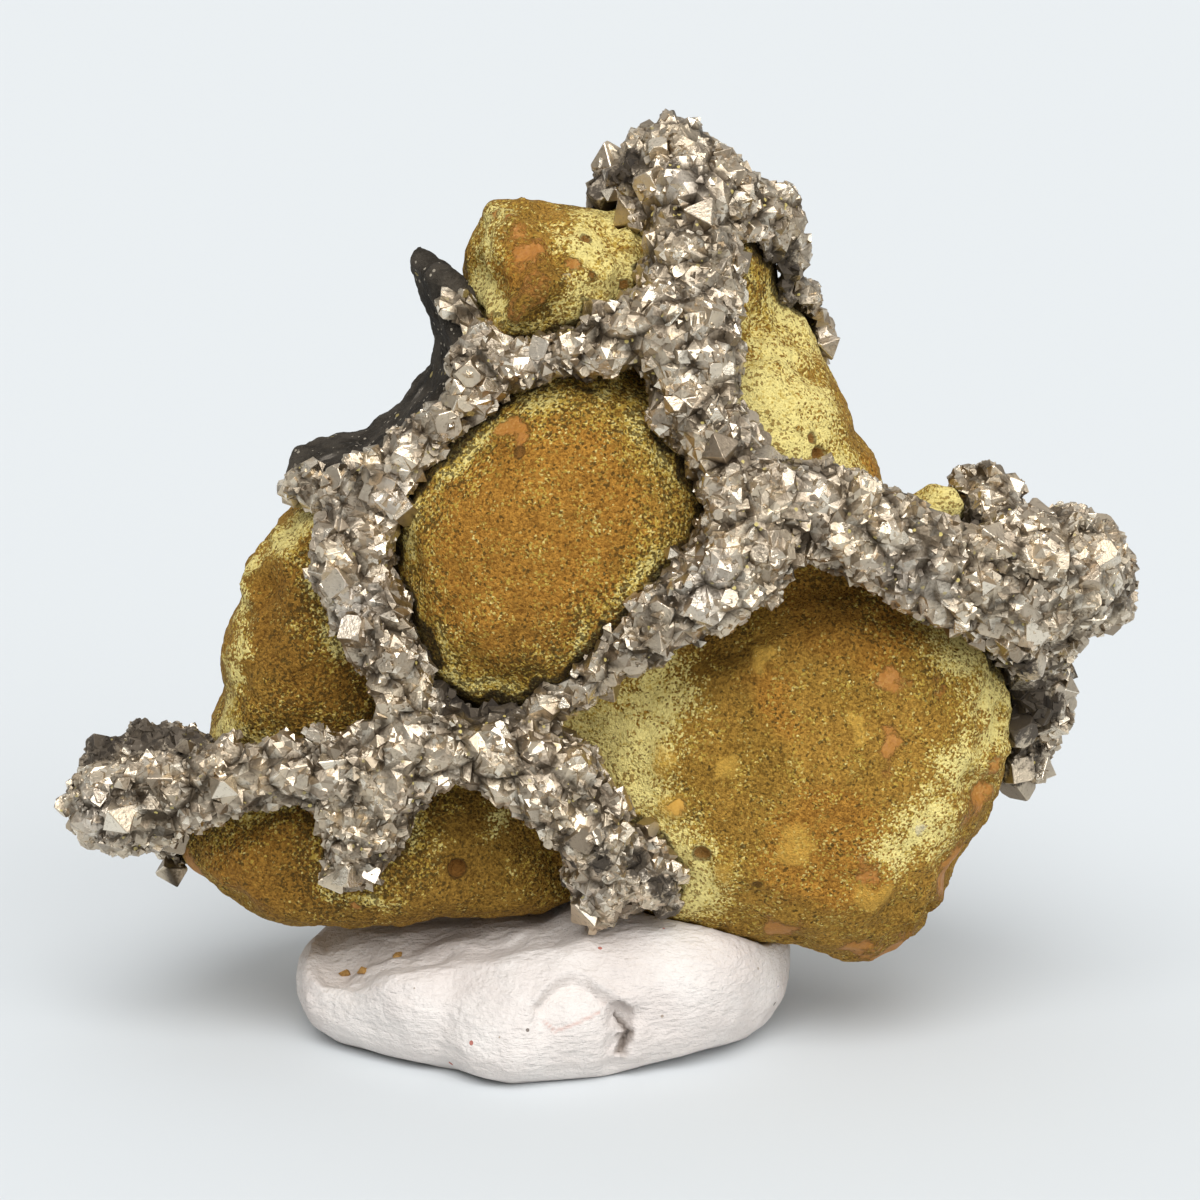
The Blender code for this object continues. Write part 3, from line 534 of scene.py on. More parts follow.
def rock_noises(tree):
    """The noises and grains that the rock's colours share."""
    place = linked(tree, "ShaderNodeTexCoord").outputs["Object"]
    aside = linked(tree, "ShaderNodeMapping", {"Vector": place, "Location": (0.3, 0.1, 0.2)}).outputs[0]
    return SimpleNamespace(
        broad=noise_at(tree, 150, 4),
        cluster=noise_at(tree, 480, 5, 0.62),
        clumps=noise_at(tree, 1100, 4, 0.65, aside),
        fine=noise_at(tree, 3200, 3, 0.7),
        dust=grains(tree, 5200),
        sand=grains(tree, 4300),
    )


def ochre_ground(tree, noises, sizes):
    """Ochre with rusty places and brown places that are partly painted shade, lighter or darker from grain to
    grain.
    """
    colour = mixed(tree, ramp(tree, noises.broad, 0.38, 0.62), sizes.ochre, DARK_OCHRE)
    rusty = ramp(tree, total(tree, attribute(tree, "rust"), (noises.cluster, 0.9)), 0.55, 1.15)
    colour = mixed(tree, rusty, colour, sizes.rust)
    # Umber, partly the rock's own colour and partly painted shade
    colour = painted(tree, colour, attribute(tree, "umber"), 0.66, UMBER_AND_SHADE)
    light = mixed(tree, 1.0, colour, GRAIN_LIGHT, "MULTIPLY")
    light = mixed(tree, 0.25, light, GRAIN_GOLD)
    shady = mixed(tree, 1.0, colour, GRAIN_SHADE, "MULTIPLY")
    grain = total(tree, (noises.dust["First lot"], 0.6), (noises.fine, 1.3), (noises.clumps, 0.8), -0.92)
    return mixed(tree, grain, shady, light)


def bare_patches(tree, noises):
    """A mask of the smooth patches where the crust has come off."""
    patches = total(tree, attribute(tree, "salmon"), (noises.cluster, 0.7), (noises.clumps, 1.4))
    return ramp(tree, patches, 1.46, 1.82)


def yellow_crust(tree, noises, gritty):
    """A mask of the yellow grains, and one of how pale they are."""
    sulphur = attribute(tree, "sulphur")
    rim = maths(tree, "MULTIPLY", attribute(tree, "rim"), ramp(tree, noises.broad, 0.42, 0.56))
    chance = total(tree, noises.dust["Second lot"], (sulphur, 0.74), (attribute(tree, "fringe"), 0.40),
                   (rim, 0.7), (noises.cluster, 1.6), (noises.fine, 0.6), (attribute(tree, "umber"), -0.2))
    mask = maths(tree, "MULTIPLY", ramp(tree, chance, 1.90, 2.10), gritty)
    pale = total(tree, noises.clumps, (sulphur, 0.5), (rim, 0.3), (noises.dust["First lot"], 0.6))
    return mask, ramp(tree, pale, 0.8, 1.25)


def dark_grains(tree, noises, gritty):
    """A mask of the dark grains, which lie closest together beside the ribs."""
    chance = total(tree, noises.sand["First lot"], (attribute(tree, "fringe"), 0.36), (noises.clumps, 1.6),
                   (attribute(tree, "sulphur"), -0.14), (attribute(tree, "umber"), 0.04))
    return maths(tree, "MULTIPLY", ramp(tree, chance, 1.72, 1.82), gritty)


def rock_marks(tree, noises, colour):
    """The colour with golden blobs, chalky spots, pits and a line of painted shade along the ribs."""
    gold = ramp(tree, total(tree, attribute(tree, "gold"), (noises.clumps, 1.2)), 0.85, 1.35)
    colour = painted(tree, colour, gold, 0.55, GOLD_BLOB)
    chalky = ramp(tree, total(tree, attribute(tree, "pale"), (noises.clumps, 1.6)), 1.45, 1.75)
    colour = painted(tree, colour, chalky, 0.7, CHALK)
    pit = attribute(tree, "pit")
    colour = painted(tree, colour, ramp(tree, pit, 0.1, 0.25), 0.7, PIT_RIM)
    colour = painted(tree, colour, ramp(tree, pit, 0.3, 0.5), 0.8, PIT_FLOOR)
    # Painted shade in the narrow gap where the rock meets the ribs
    contact = ramp(tree, total(tree, attribute(tree, "contact"), (noises.clumps, 0.6)), 0.55, 0.85)
    return painted(tree, colour, contact, 0.85, CONTACT_SHADE)


def rock_material(sizes):
    """Ochre with a crust of yellow and dark grains, rusty middles, bare patches and painted shade where it
    meets the ribs.
    """
    material, tree, shader = new_material("ochre_matrix")
    noises = rock_noises(tree)
    colour = ochre_ground(tree, noises, sizes)
    bare = bare_patches(tree, noises)
    gritty = maths(tree, "SUBTRACT", 1.0, maths(tree, "MULTIPLY", bare, 0.92))
    wear = ramp(tree, total(tree, noises.fine, (noises.clumps, 0.6)), 0.6, 1.0)
    colour = painted(tree, colour, bare, 0.75, mixed(tree, wear, sizes.salmon, WORN_SALMON))
    yellow, pale = yellow_crust(tree, noises, gritty)
    colour = painted(tree, colour, yellow, 0.9, mixed(tree, pale, DEEP_YELLOW, sizes.sulphur))
    dark = dark_grains(tree, noises, gritty)
    speck = mixed(tree, ramp(tree, attribute(tree, "sulphur"), 0.15, 0.5), BLACK_SPECK, BROWN_SPECK)
    colour = painted(tree, colour, dark, 0.8, speck)
    tree.links.new(rock_marks(tree, noises, colour), shader.inputs["Base Color"])
    tree.links.new(between(tree, bare, 0.72, 0.48), shader.inputs["Roughness"])
    shader.inputs["Specular IOR Level"].default_value = 0.15
    relief = total(tree, noises.fine, (noises.dust["Dome"], 0.3), (dark, -0.25), (yellow, 0.25),
                   (noises.clumps, 0.6))
    bump(tree, shader, maths(tree, "MULTIPLY", relief, gritty), 1.0, 0.42)
    return material


# Colours of the pyrite, besides the one in its sizes. The facet colours are a painted highlight and painted
# shade, the crevice colour is painted shade, and the black and grey facets are a dark coating, partly painted
# shade, with painted glints.
SHADED_METAL = (0.53, 0.445, 0.34)
FACET_HIGHLIGHT = (0.92, 0.83, 0.68)
FACET_SHADE = (0.23, 0.175, 0.12)
SILVERY = (0.80, 0.73, 0.64)
TARNISH = (0.20, 0.155, 0.11)
CREVICE_SHADE = (0.05, 0.035, 0.021)
BLACK_FACET = (0.022, 0.015, 0.009)
GREY_FACET = (0.10, 0.078, 0.055)
YELLOW_DUST = (0.55, 0.45, 0.14)


def pyrite_material(sizes):
    """Metal crystal faces with painted highlights and shade on random facets, painted shade in the crevices,
    and almost black in places, partly from a dark coating and partly painted shade.
    """
    material, tree, shader = new_material("pyrite_ribs")
    lot = total(tree, (attribute(tree, "lot"), 0.4), (attribute(tree, "facet"), 0.6))
    fine = noise_at(tree, 3000, 3, 0.7)
    colour = mixed(tree, ramp(tree, noise_at(tree, 260, 3), 0.38, 0.62), SHADED_METAL, sizes.metal)
    # Painted highlights on some facets and painted shade on others, chosen at random
    colour = painted(tree, colour, ramp(tree, lot, 0.60, 0.80), 0.85, FACET_HIGHLIGHT)
    shaded_facets = maths(tree, "SUBTRACT", 1.0, ramp(tree, lot, 0.18, 0.42))
    colour = painted(tree, colour, shaded_facets, 0.65, FACET_SHADE)
    colour = painted(tree, colour, attribute(tree, "silver"), 0.5, SILVERY)
    colour = painted(tree, colour, ramp(tree, fine, 0.54, 0.7), 0.5, TARNISH)
    # Painted shade in the crevices, where the crystals sit deep in the crust
    deep = ramp(tree, total(tree, attribute(tree, "deep"), (fine, 0.5)), 0.55, 1.25)
    colour = painted(tree, colour, deep, 0.9, CREVICE_SHADE)
    # Dark crystals: partly a dark coating and partly painted shade on flanks and under overhangs, with
    # painted grey glints on some facets
    blots = total(tree, attribute(tree, "soot"), (fine, 0.7), (noise_at(tree, 750, 3), 1.2))
    dark_coat_and_shade = ramp(tree, blots, 1.3, 1.7)
    glint = ramp(tree, total(tree, lot, (fine, 0.5)), 0.35, 1.0)
    colour = mixed(tree, dark_coat_and_shade, colour, mixed(tree, glint, BLACK_FACET, GREY_FACET))
    dust = maths(tree, "MULTIPLY", specks(tree, 2600, 0.03, 0.5), deep)
    colour = mixed(tree, dust, colour, YELLOW_DUST)
    tree.links.new(colour, shader.inputs["Base Color"])
    rough = maths(tree, "ADD", between(tree, lot, 0.40, 0.22), total(tree, (dark_coat_and_shade, 0.28), (deep, 0.2)))
    tree.links.new(rough, shader.inputs["Roughness"])
    covered = maths(tree, "MAXIMUM", maths(tree, "MULTIPLY", dark_coat_and_shade, 0.65), dust)
    tree.links.new(maths(tree, "SUBTRACT", 1.0, covered), shader.inputs["Metallic"])
    bump(tree, shader, total(tree, fine, (noise_at(tree, 900, 3, 0.6), 0.8)), 0.5, 0.16)
    return material


# Colours of the shale, besides the one in its sizes
DARK_SHALE = (0.026, 0.021, 0.015)
PALE_SHALE = (0.085, 0.073, 0.057)
STONE_DUST = (0.20, 0.175, 0.145)
BRIGHT_SPECK = (0.42, 0.37, 0.29)
BRASSY_SPECK = (0.50, 0.40, 0.16)


def shale_material(sizes):
    """Dull grey-brown stone with fine bright specks and some dust."""
    material, tree, shader = new_material("shale_wall")
    fine = noise_at(tree, 2600, 3, 0.7)
    colour = mixed(tree, ramp(tree, noise_at(tree, 300, 4), 0.35, 0.65), DARK_SHALE, sizes.colour)
    colour = mixed(tree, ramp(tree, fine, 0.5, 0.75), colour, PALE_SHALE)
    dusty = ramp(tree, total(tree, attribute(tree, "dusty"), (fine, 0.8)), 0.75, 1.25)
    colour = mixed(tree, dusty, colour, STONE_DUST)
    colour = painted(tree, colour, specks(tree, 3200, 0.05, 0.5), 0.85, BRIGHT_SPECK)
    colour = painted(tree, colour, specks(tree, 1500, 0.015, 0.5), 0.8, BRASSY_SPECK)
    tree.links.new(colour, shader.inputs["Base Color"])
    tree.links.new(ramp(tree, fine, -0.8, 0.9), shader.inputs["Roughness"])
    shader.inputs["Specular IOR Level"].default_value = 0.2
    bump(tree, shader, total(tree, fine, (noise_at(tree, 1100, 3, 0.6), 0.8)), 1.0, 0.5)
    return material


# Colours of the putty, besides the one in its sizes. The dent colour is partly painted shade, and the crease
# colour is painted shade.
SHADED_PUTTY = (0.71, 0.645, 0.605)
DENT_DUST_AND_SHADE = (0.52, 0.455, 0.39)
FIBRE = (0.52, 0.47, 0.43)
CREASE_SHADE = (0.30, 0.25, 0.215)
RED_MARK = (0.55, 0.22, 0.15)
# Specks in the putty: cells per metre, the share of them that hold a speck, and its colour
PUTTY_SPECKS = ((620, 0.045, (0.12, 0.09, 0.07)), (520, 0.022, (0.45, 0.09, 0.05)),
                (480, 0.018, (0.10, 0.15, 0.28)), (900, 0.03, (0.35, 0.27, 0.20)))


def putty_material(sizes):
    """Chalky putty drawn out in fine fibres, with a few coloured specks, dust and painted shade in its dent,
    and painted shade in its fold and crack.
    """
    material, tree, shader = new_material("mounting_putty")
    place = linked(tree, "ShaderNodeTexCoord").outputs["Object"]
    stretch = {"Vector": place, "Rotation": (0, math.radians(8), 0), "Scale": (0.3, 0.5, 1.0)}
    drawn_out = linked(tree, "ShaderNodeMapping", stretch).outputs["Vector"]
    fibres = noise_at(tree, 2100, 4, 0.65, drawn_out)
    pores = noise_at(tree, 1500, 3, 0.6)
    colour = mixed(tree, ramp(tree, noise_at(tree, 140, 3), 0.3, 0.7), sizes.colour, SHADED_PUTTY)
    # Dust and painted shade in the thumb dent
    colour = painted(tree, colour, attribute(tree, "dusty"), 0.32, DENT_DUST_AND_SHADE)
    colour = painted(tree, colour, ramp(tree, fibres, 0.55, 0.75), 0.22, FIBRE)
    for per_metre, share, tint in PUTTY_SPECKS:
        colour = painted(tree, colour, specks(tree, per_metre, share, 0.13), 0.85, tint)
    # Painted shade along the flap's fold and in the crack
    colour = mixed(tree, attribute(tree, "crease"), colour, CREASE_SHADE)
    colour = painted(tree, colour, attribute(tree, "red_line"), 0.45, RED_MARK)
    tree.links.new(colour, shader.inputs["Base Color"])
    tree.links.new(ramp(tree, fibres, -0.9, 0.9), shader.inputs["Roughness"])
    shader.inputs["Specular IOR Level"].default_value = 0.35
    bump(tree, shader, total(tree, fibres, (pores, 0.7)), 0.9, 0.42)
    return material


# Colours of the crumbs
PALE_CRUMB = (0.52, 0.30, 0.09)
DARK_CRUMB = (0.30, 0.16, 0.04)


def crumb_material():
    """Orange crumbs of the rock."""
    material, tree, shader = new_material("ochre_crumbs")
    fine = noise_at(tree, 2600, 3, 0.7)
    colour = mixed(tree, ramp(tree, fine, 0.35, 0.65), PALE_CRUMB, DARK_CRUMB)
    tree.links.new(colour, shader.inputs["Base Color"])
    tree.links.new(ramp(tree, fine, -0.8, 0.9), shader.inputs["Roughness"])
    return material


# Crystals


def crystal(rng, kind, worn=0.0):
    """A bmesh of one uneven crystal of radius about 1: an octahedron with its points cut off, or a cube."""
    corners = [Vector((x, y, z)).normalized() for x in (-1, 1) for y in (-1, 1) for z in (-1, 1)]
    sides = [Vector(side) for side in ((1, 0, 0), (-1, 0, 0), (0, 1, 0), (0, -1, 0), (0, 0, 1), (0, 0, -1))]
    if kind == "cube":
        cuts = [(side, 0.62) for side in sides] + [(corner, 0.98) for corner in corners]
    else:
        cuts = [(corner, 0.56) for corner in corners] + [(side, 0.93) for side in sides]
    bm = bmesh.new()
    bmesh.ops.create_cube(bm, size=2)
    for direction, away in cuts:
        away *= rng.uniform(0.84, 1.14)
        cut = bmesh.ops.bisect_plane(bm, geom=bm.verts[:] + bm.edges[:] + bm.faces[:], dist=1e-4,
                                     plane_co=direction * away, plane_no=direction, clear_outer=True)
        rim = [part for part in cut["geom_cut"] if isinstance(part, bmesh.types.BMEdge)]
        bmesh.ops.holes_fill(bm, edges=rim)
    if kind == "octahedron":
        slant = Vector((1, 1, 1)).rotation_difference(Vector((0, 0, 1))).to_matrix()
        bmesh.ops.rotate(bm, cent=(0, 0, 0), matrix=slant, verts=bm.verts)
    if worn:
        bmesh.ops.bevel(bm, geom=bm.edges[:], offset=worn, segments=1, profile=0.5, affect="EDGES")
    bmesh.ops.recalc_face_normals(bm, faces=bm.faces)
    return bm


def crystal_shapes(name, kinds, worn=0.0):
    """A collection of the shapes that the crystals are copies of."""
    rng = random.Random(8)
    shapes = bpy.data.collections.new(name)
    bpy.context.scene.collection.children.link(shapes)
    for i, kind in enumerate(kinds):
        obj = object_from(crystal(rng, kind, worn), "%s_%d" % (name, i))
        bpy.context.scene.collection.objects.unlink(obj)
        shapes.objects.link(obj)
    return shapes


# The crust's inputs: name, kind and default. Lengths are in metres here.
CRUST_INPUTS = (("Smallest", "Float", 0.0004), ("Largest", "Float", 0.001), ("Spacing", "Float", 0.001),
                ("Sunk", "Float", 0.4), ("Tilt", "Float", 0.4), ("Shared turn", "Float", 0.5),
                ("Patch", "Float", 0.005), ("Seed", "Int", 1), ("Zone", "String", "coarse"))
# Sockets of the Random Value node for each kind of value: minimum, maximum and result
DRAW_SOCKETS = {"FLOAT": (2, 3, 1), "FLOAT_VECTOR": (0, 1, 0), "INT": (4, 5, 2)}
# Far more points per square metre than the spacing leaves room for
POINTS_TRIED = 9e6
# How far the crystals of one patch turn from their shared direction, in radians
WOBBLE = 0.14


def drawn(tree, given, salt, low, high, kind="FLOAT"):
    """A random value for each point or face. Each use has its own salt."""
    minimum, maximum, result = DRAW_SOCKETS[kind]
    inputs = {minimum: low, maximum: high, "Seed": maths(tree, "ADD", given["Seed"], salt)}
    return linked(tree, "FunctionNodeRandomValue", inputs, data_type=kind).outputs[result]


def scaled(tree, vector, scale):
    """The vector times a number."""
    return linked(tree, "ShaderNodeVectorMath", {0: vector, "Scale": scale}, operation="SCALE").outputs[0]


def with_value(tree, geometry, name, value, domain):
    """The geometry with a value stored on its points or faces."""
    inputs = {"Geometry": geometry, "Name": name, "Value": value}
    node = linked(tree, "GeometryNodeStoreNamedAttribute", inputs, data_type="FLOAT", domain=domain)
    return node.outputs[0]


def crust_points(tree, given):
    """Points spread over the zone, none closer together than the spacing."""
    zone = linked(tree, "GeometryNodeInputNamedAttribute", {"Name": given["Zone"]}, data_type="FLOAT")
    inputs = {"Mesh": given["Geometry"], "Distance Min": given["Spacing"], "Density Max": POINTS_TRIED,
              "Density Factor": zone.outputs[0], "Seed": given["Seed"]}
    return linked(tree, "GeometryNodeDistributePointsOnFaces", inputs, distribute_method="POISSON").outputs


def crystal_size(tree, given):
    """A radius for each point, more often small than large."""
    uneven = maths(tree, "POWER", drawn(tree, given, 0, 0.0, 1.0), 1.8)
    return between(tree, uneven, given["Smallest"], given["Largest"])


def crystal_turn(tree, given, upright):
    """A direction for each point: shared by a whole patch in some places, and its own in others."""
    place = tree.nodes.new("GeometryNodeInputPosition").outputs[0]
    per_metre = maths(tree, "DIVIDE", 1.0, given["Patch"])
    patch = linked(tree, "ShaderNodeTexVoronoi", {"Vector": place, "Scale": per_metre}).outputs["Color"]
    wobble = drawn(tree, given, 1, (-WOBBLE,) * 3, (WOBBLE,) * 3, "FLOAT_VECTOR")
    turn = {0: scaled(tree, patch, math.tau), 1: wobble}
    turn = linked(tree, "ShaderNodeVectorMath", turn, operation="ADD").outputs[0]
    shared = linked(tree, "FunctionNodeEulerToRotation", {0: turn}).outputs[0]
    lean = scaled(tree, drawn(tree, given, 2, (-1, -1, -8), (1, 1, 8), "FLOAT_VECTOR"), given["Tilt"])
    lean = linked(tree, "FunctionNodeEulerToRotation", {0: lean}).outputs[0]
    own = linked(tree, "FunctionNodeRotateRotation", {"Rotation": upright, "Rotate By": lean},
                 rotation_space="LOCAL").outputs[0]
    toss = linked(tree, "ShaderNodeTexNoise", {"Vector": place, "Scale": 210.0}).outputs["Fac"]
    together = linked(tree, "FunctionNodeCompare", {0: toss, 1: given["Shared turn"]},
                      operation="LESS_THAN").outputs[0]
    inputs = {"Switch": together, "False": own, "True": shared}
    return linked(tree, "GeometryNodeSwitch", inputs, input_type="ROTATION").outputs[0]


def crust_tree(material, shapes):
    """A tree that grows crystals all over a surface, some in patches that share a direction."""
    tree = bpy.data.node_groups.new("crystal_crust", "GeometryNodeTree")
    face = tree.interface
    face.new_socket(name="Geometry", in_out="INPUT", socket_type="NodeSocketGeometry")
    for name, kind, default in CRUST_INPUTS:
        socket = face.new_socket(name=name, in_out="INPUT", socket_type="NodeSocket" + kind)
        socket.default_value = default
    face.new_socket(name="Geometry", in_out="OUTPUT", socket_type="NodeSocketGeometry")
    entry = tree.nodes.new("NodeGroupInput")
    out = tree.nodes.new("NodeGroupOutput")
    given = entry.outputs
    points = crust_points(tree, given)
    size = crystal_size(tree, given)
    down = maths(tree, "MULTIPLY", maths(tree, "MULTIPLY", size, given["Sunk"]), -1.0)
    sunk = {"Geometry": points["Points"], "Offset": scaled(tree, points["Normal"], down)}
    settled = linked(tree, "GeometryNodeSetPosition", sunk).outputs[0]
    marked = with_value(tree, settled, "lot", drawn(tree, given, 3, 0.0, 1.0), "POINT")
    source = linked(tree, "GeometryNodeCollectionInfo", {"Collection": shapes, "Separate Children": True})
    pick = drawn(tree, given, 4, 0, len(shapes.objects) - 1, "INT")
    copies = {"Points": marked, "Instance": source.outputs[0], "Pick Instance": True, "Instance Index": pick,
              "Rotation": crystal_turn(tree, given, points["Rotation"]), "Scale": size}
    crystals = linked(tree, "GeometryNodeInstanceOnPoints", copies).outputs[0]
    real = linked(tree, "GeometryNodeRealizeInstances", {"Geometry": crystals}).outputs[0]
    faced = with_value(tree, real, "facet", drawn(tree, given, 5, 0.0, 1.0), "FACE")
    dressed = linked(tree, "GeometryNodeSetMaterial", {"Geometry": faced, "Material": material})
    tree.links.new(dressed.outputs[0], out.inputs[0])
    return tree


# One step of the crust: its name and tree, the radius of its largest crystals and the smallest as a share of
# it, the spacing, how far they are sunk and tilted, the share with a shared turn, the size of such a patch,
# and the zone. Lengths are in millimetres.
Crop = namedtuple("Crop", "name tree largest least spacing sunk tilt together patch zone")


def grow_crust(crop, skin, seed):
    """A plain mesh of the crystals that this step grows on the skin."""
    values = {"Largest": crop.largest * MM, "Smallest": crop.largest * crop.least * MM,
              "Spacing": crop.spacing * MM, "Sunk": crop.sunk, "Tilt": crop.tilt,
              "Shared turn": crop.together, "Patch": crop.patch * MM, "Seed": seed, "Zone": crop.zone}
    obj = bpy.data.objects.new(crop.name, skin.data.copy())
    bpy.context.scene.collection.objects.link(obj)
    crust = obj.modifiers.new("crust", "NODES")
    crust.node_group = crop.tree
    for item in crop.tree.interface.items_tree:
        if item.in_out == "INPUT" and item.name in values:
            crust[item.identifier] = values[item.name]
    applied(obj)
    if not obj.data.polygons:
        raise RuntimeError("No crystals grew for " + crop.name)
    return obj


def mark_crystals(obj, skin_tree):
    """Stores how deep each corner sits in the crust, for its painted shade, how much dark coating and painted
    shade its place has, and how bright it is.
    """
    corners = corners_of(obj)
    depth = np.empty(len(corners))
    for i, point in enumerate(corners):
        near, normal, _, _ = skin_tree.find_nearest(Vector(point) * MM)
        depth[i] = (Vector(point) * MM - near).dot(normal) / MM
    crease = np.zeros(len(corners), np.float32)
    if "crease" in obj.data.attributes:
        obj.data.attributes["crease"].data.foreach_get("value", crease)
    store(obj, "deep", np.clip(0.3 - depth * 0.9 + 0.65 * crease, 0, 1))
    store(obj, "soot", near_spots(corners, COAT_AND_SHADE_SPOTS))
    store(obj, "silver", near_spots(corners, SILVER))


def shown_crystals():
    """The single crystals that stand out, as one mesh."""
    rng = random.Random(12)
    parts, lots = [], []
    for x, y, z, radius, cube in SHOWN:
        one = crystal(rng, "cube" if cube else "octahedron", 0.04)
        turn = Euler([rng.uniform(-0.35, 0.35) for _ in range(3)]).to_matrix()
        spin = Matrix.Rotation(rng.uniform(0, math.tau), 3, "Z")
        forward = Vector((x * 0.012, -1, 0.25)).to_track_quat("Z", "Y").to_matrix()
        place = Matrix.Translation(Vector((x, y + 0.25 * radius, z)) * MM)
        size = (0.85 if cube else 0.65) * radius * MM
        bmesh.ops.transform(one, matrix=place @ (forward @ turn @ spin * size).to_4x4(), verts=one.verts)
        lots += [rng.uniform(0.5, 1.0)] * len(one.verts)
        parts.append(one)
    obj = joined(parts, "shown_crystals")
    store(obj, "lot", np.array(lots))
    store(obj, "facet", np.array([rng.random() for _ in obj.data.polygons]), "FACE")
    return obj


def discard_shapes(shapes):
    """Removes the shapes once the crust's crystals are copied from them."""
    for shape in list(shapes.objects):
        bpy.data.objects.remove(shape)
    bpy.data.collections.remove(shapes)


# Pieces


def rock_masks(rock, corners):
    """The rock's patches of colour, and its smooth ridges, as values from 0 to 1."""
    contact = distance_to(corners, "pyrite_ribs")
    front = np.clip(-normals_of(rock)[:, 1] * 2 + 0.6, 0, 1)
    moved = warped(corners)
    ridges = [front * np.clip(1.5 - distance_to_path(moved, path) / 1.1, 0, 1) for path in RIDGES]
    masks = {
        "contact": np.clip(1.0 - contact / 0.65, 0, 1),
        "pale": near_spots(corners, PALE),
        "gold": front * near_spots(moved * (1, 0, 1), GOLD),
        "fringe": np.clip(1.25 - contact / 4.2, 0, 1),
        "rim": np.clip(1.3 - np.abs(contact - 1.1) / 0.8, 0, 1),
        "sulphur": near_spots(moved, SULPHUR),
        "salmon": np.maximum(near_spots(moved, SALMON), 0.58 * ridges[0]),
        "rust": near_spots(moved, RUST),
        "umber": near_spots(moved, UMBER),
    }
    return masks, sum(ridges)


def rock_relief(corners, masks, ridges, sizes):
    """Heights of the rock's lumps, ridges, golden blobs, craggy places and grit, in millimetres."""
    heights = sizes.lumps * (bumps(corners, 5.5, 2.0) + 0.65 * bumps(corners, 2.6, 8.0)) + 0.8 * ridges
    heights += 0.35 * masks["gold"]
    crags = 0.5 - 2 * np.abs(bumps(corners, 3.6, 61.0)) + 0.5 * bumps(corners, 1.3, 63.0)
    heights += 0.9 * near_spots(corners, RUGGED) * crags
    gritty = 1 - 0.8 * np.clip(masks["salmon"] * 1.5, 0, 1)
    heights += sizes.grit * gritty * (bumps(corners, 1.2, 21.0) + 0.8 * bumps(corners, 0.7, 31.0))
    return heights


class SPECIMEN_OT_rock(bpy.types.Operator):
    """Dress the ochre rock with lumps, grit, pits and its patches of colour"""

    bl_idname = "specimen.rock"
    bl_label = "Ochre rock"

    def execute(self, context):
        sizes = context.scene.specimen_rock
        rock = merged_copy("ochre_matrix", "ochre_rock")
        reskinned(rock, sizes.voxel, 8)
        corners = corners_of(rock)
        masks, ridges = rock_masks(rock, corners)
        sunken, masks["pit"] = craters(corners, PITS)
        raise_surface(rock, rock_relief(corners, masks, ridges, sizes) + sunken)
        for name, mask in masks.items():
            store(rock, name, mask)
        rock.data.shade_smooth()
        finish_piece(rock, rock_material(sizes), "ochre_matrix", "ochre_matrix")
        return {"FINISHED"}


def wrinkles_at(corners):
    """Sharp wrinkles, 1 on their crests and lower beside them."""
    return 1 - 3 * np.abs(bumps(corners, 1.5, 14.0))


def rib_skin(sizes):
    """The ribs as a lumpy, wrinkled mosaic of flat facets."""
    skin = merged_copy("pyrite_ribs", "pyrite_base")
    reskinned(skin, sizes.skin, 3)
    corners = corners_of(skin)
    wrinkles = wrinkles_at(corners) + 0.5 * bumps(corners, 0.6, 25.0)
    raise_surface(skin, 0.9 * lumps(corners, 4.2) + 0.5 * lumps(corners, 1.7) + 0.25 * wrinkles - 0.95)
    fewer = skin.modifiers.new("facets", "DECIMATE")
    fewer.ratio = sizes.mosaic
    return applied(skin)


def mark_skin(skin, seed):
    """Stores the skin's tones and painted shade, and the zones where each step of the crust grows."""
    corners = corners_of(skin)
    crease = np.clip(1 - 1.15 * lumps(corners, 4.2), 0, 1)
    store(skin, "lot", 0.5 + 0.9 * bumps(corners, 0.8, 3.0))
    rng = np.random.default_rng(seed)
    store(skin, "facet", rng.random(len(skin.data.polygons)), "FACE")
    store(skin, "crease", crease)
    # How deep in a crease each corner lies, which the pyrite paints as shade
    store(skin, "deep", np.clip(crease + 0.3 - 0.35 * wrinkles_at(corners), 0, 1))
    store(skin, "soot", near_spots(corners, COAT_AND_SHADE_SPOTS))
    store(skin, "silver", near_spots(corners, SILVER))
    coarse = 0.3 + 1.3 * bumps(corners, 5.0, 5.0) - 1.5 * near_spots(corners, FINE_CRUST)
    coarse += near_spots(corners, COARSE_CRUST)
    everywhere = np.clip(0.6 + 1.8 * bumps(corners, 3.0, 17.0), 0.1, 1)
    clear = distance_to(corners, "shale_wall")
    store(skin, "coarse", np.clip(coarse, 0.03, 1) * np.clip(clear / 2.0 - 1.3, 0, 1))
    store(skin, "middling", np.clip(coarse + 0.5, 0.2, 1) * np.clip(clear / 1.5 - 1.0, 0, 1))
    store(skin, "everywhere", everywhere * np.clip(clear - 0.4, 0, 1))


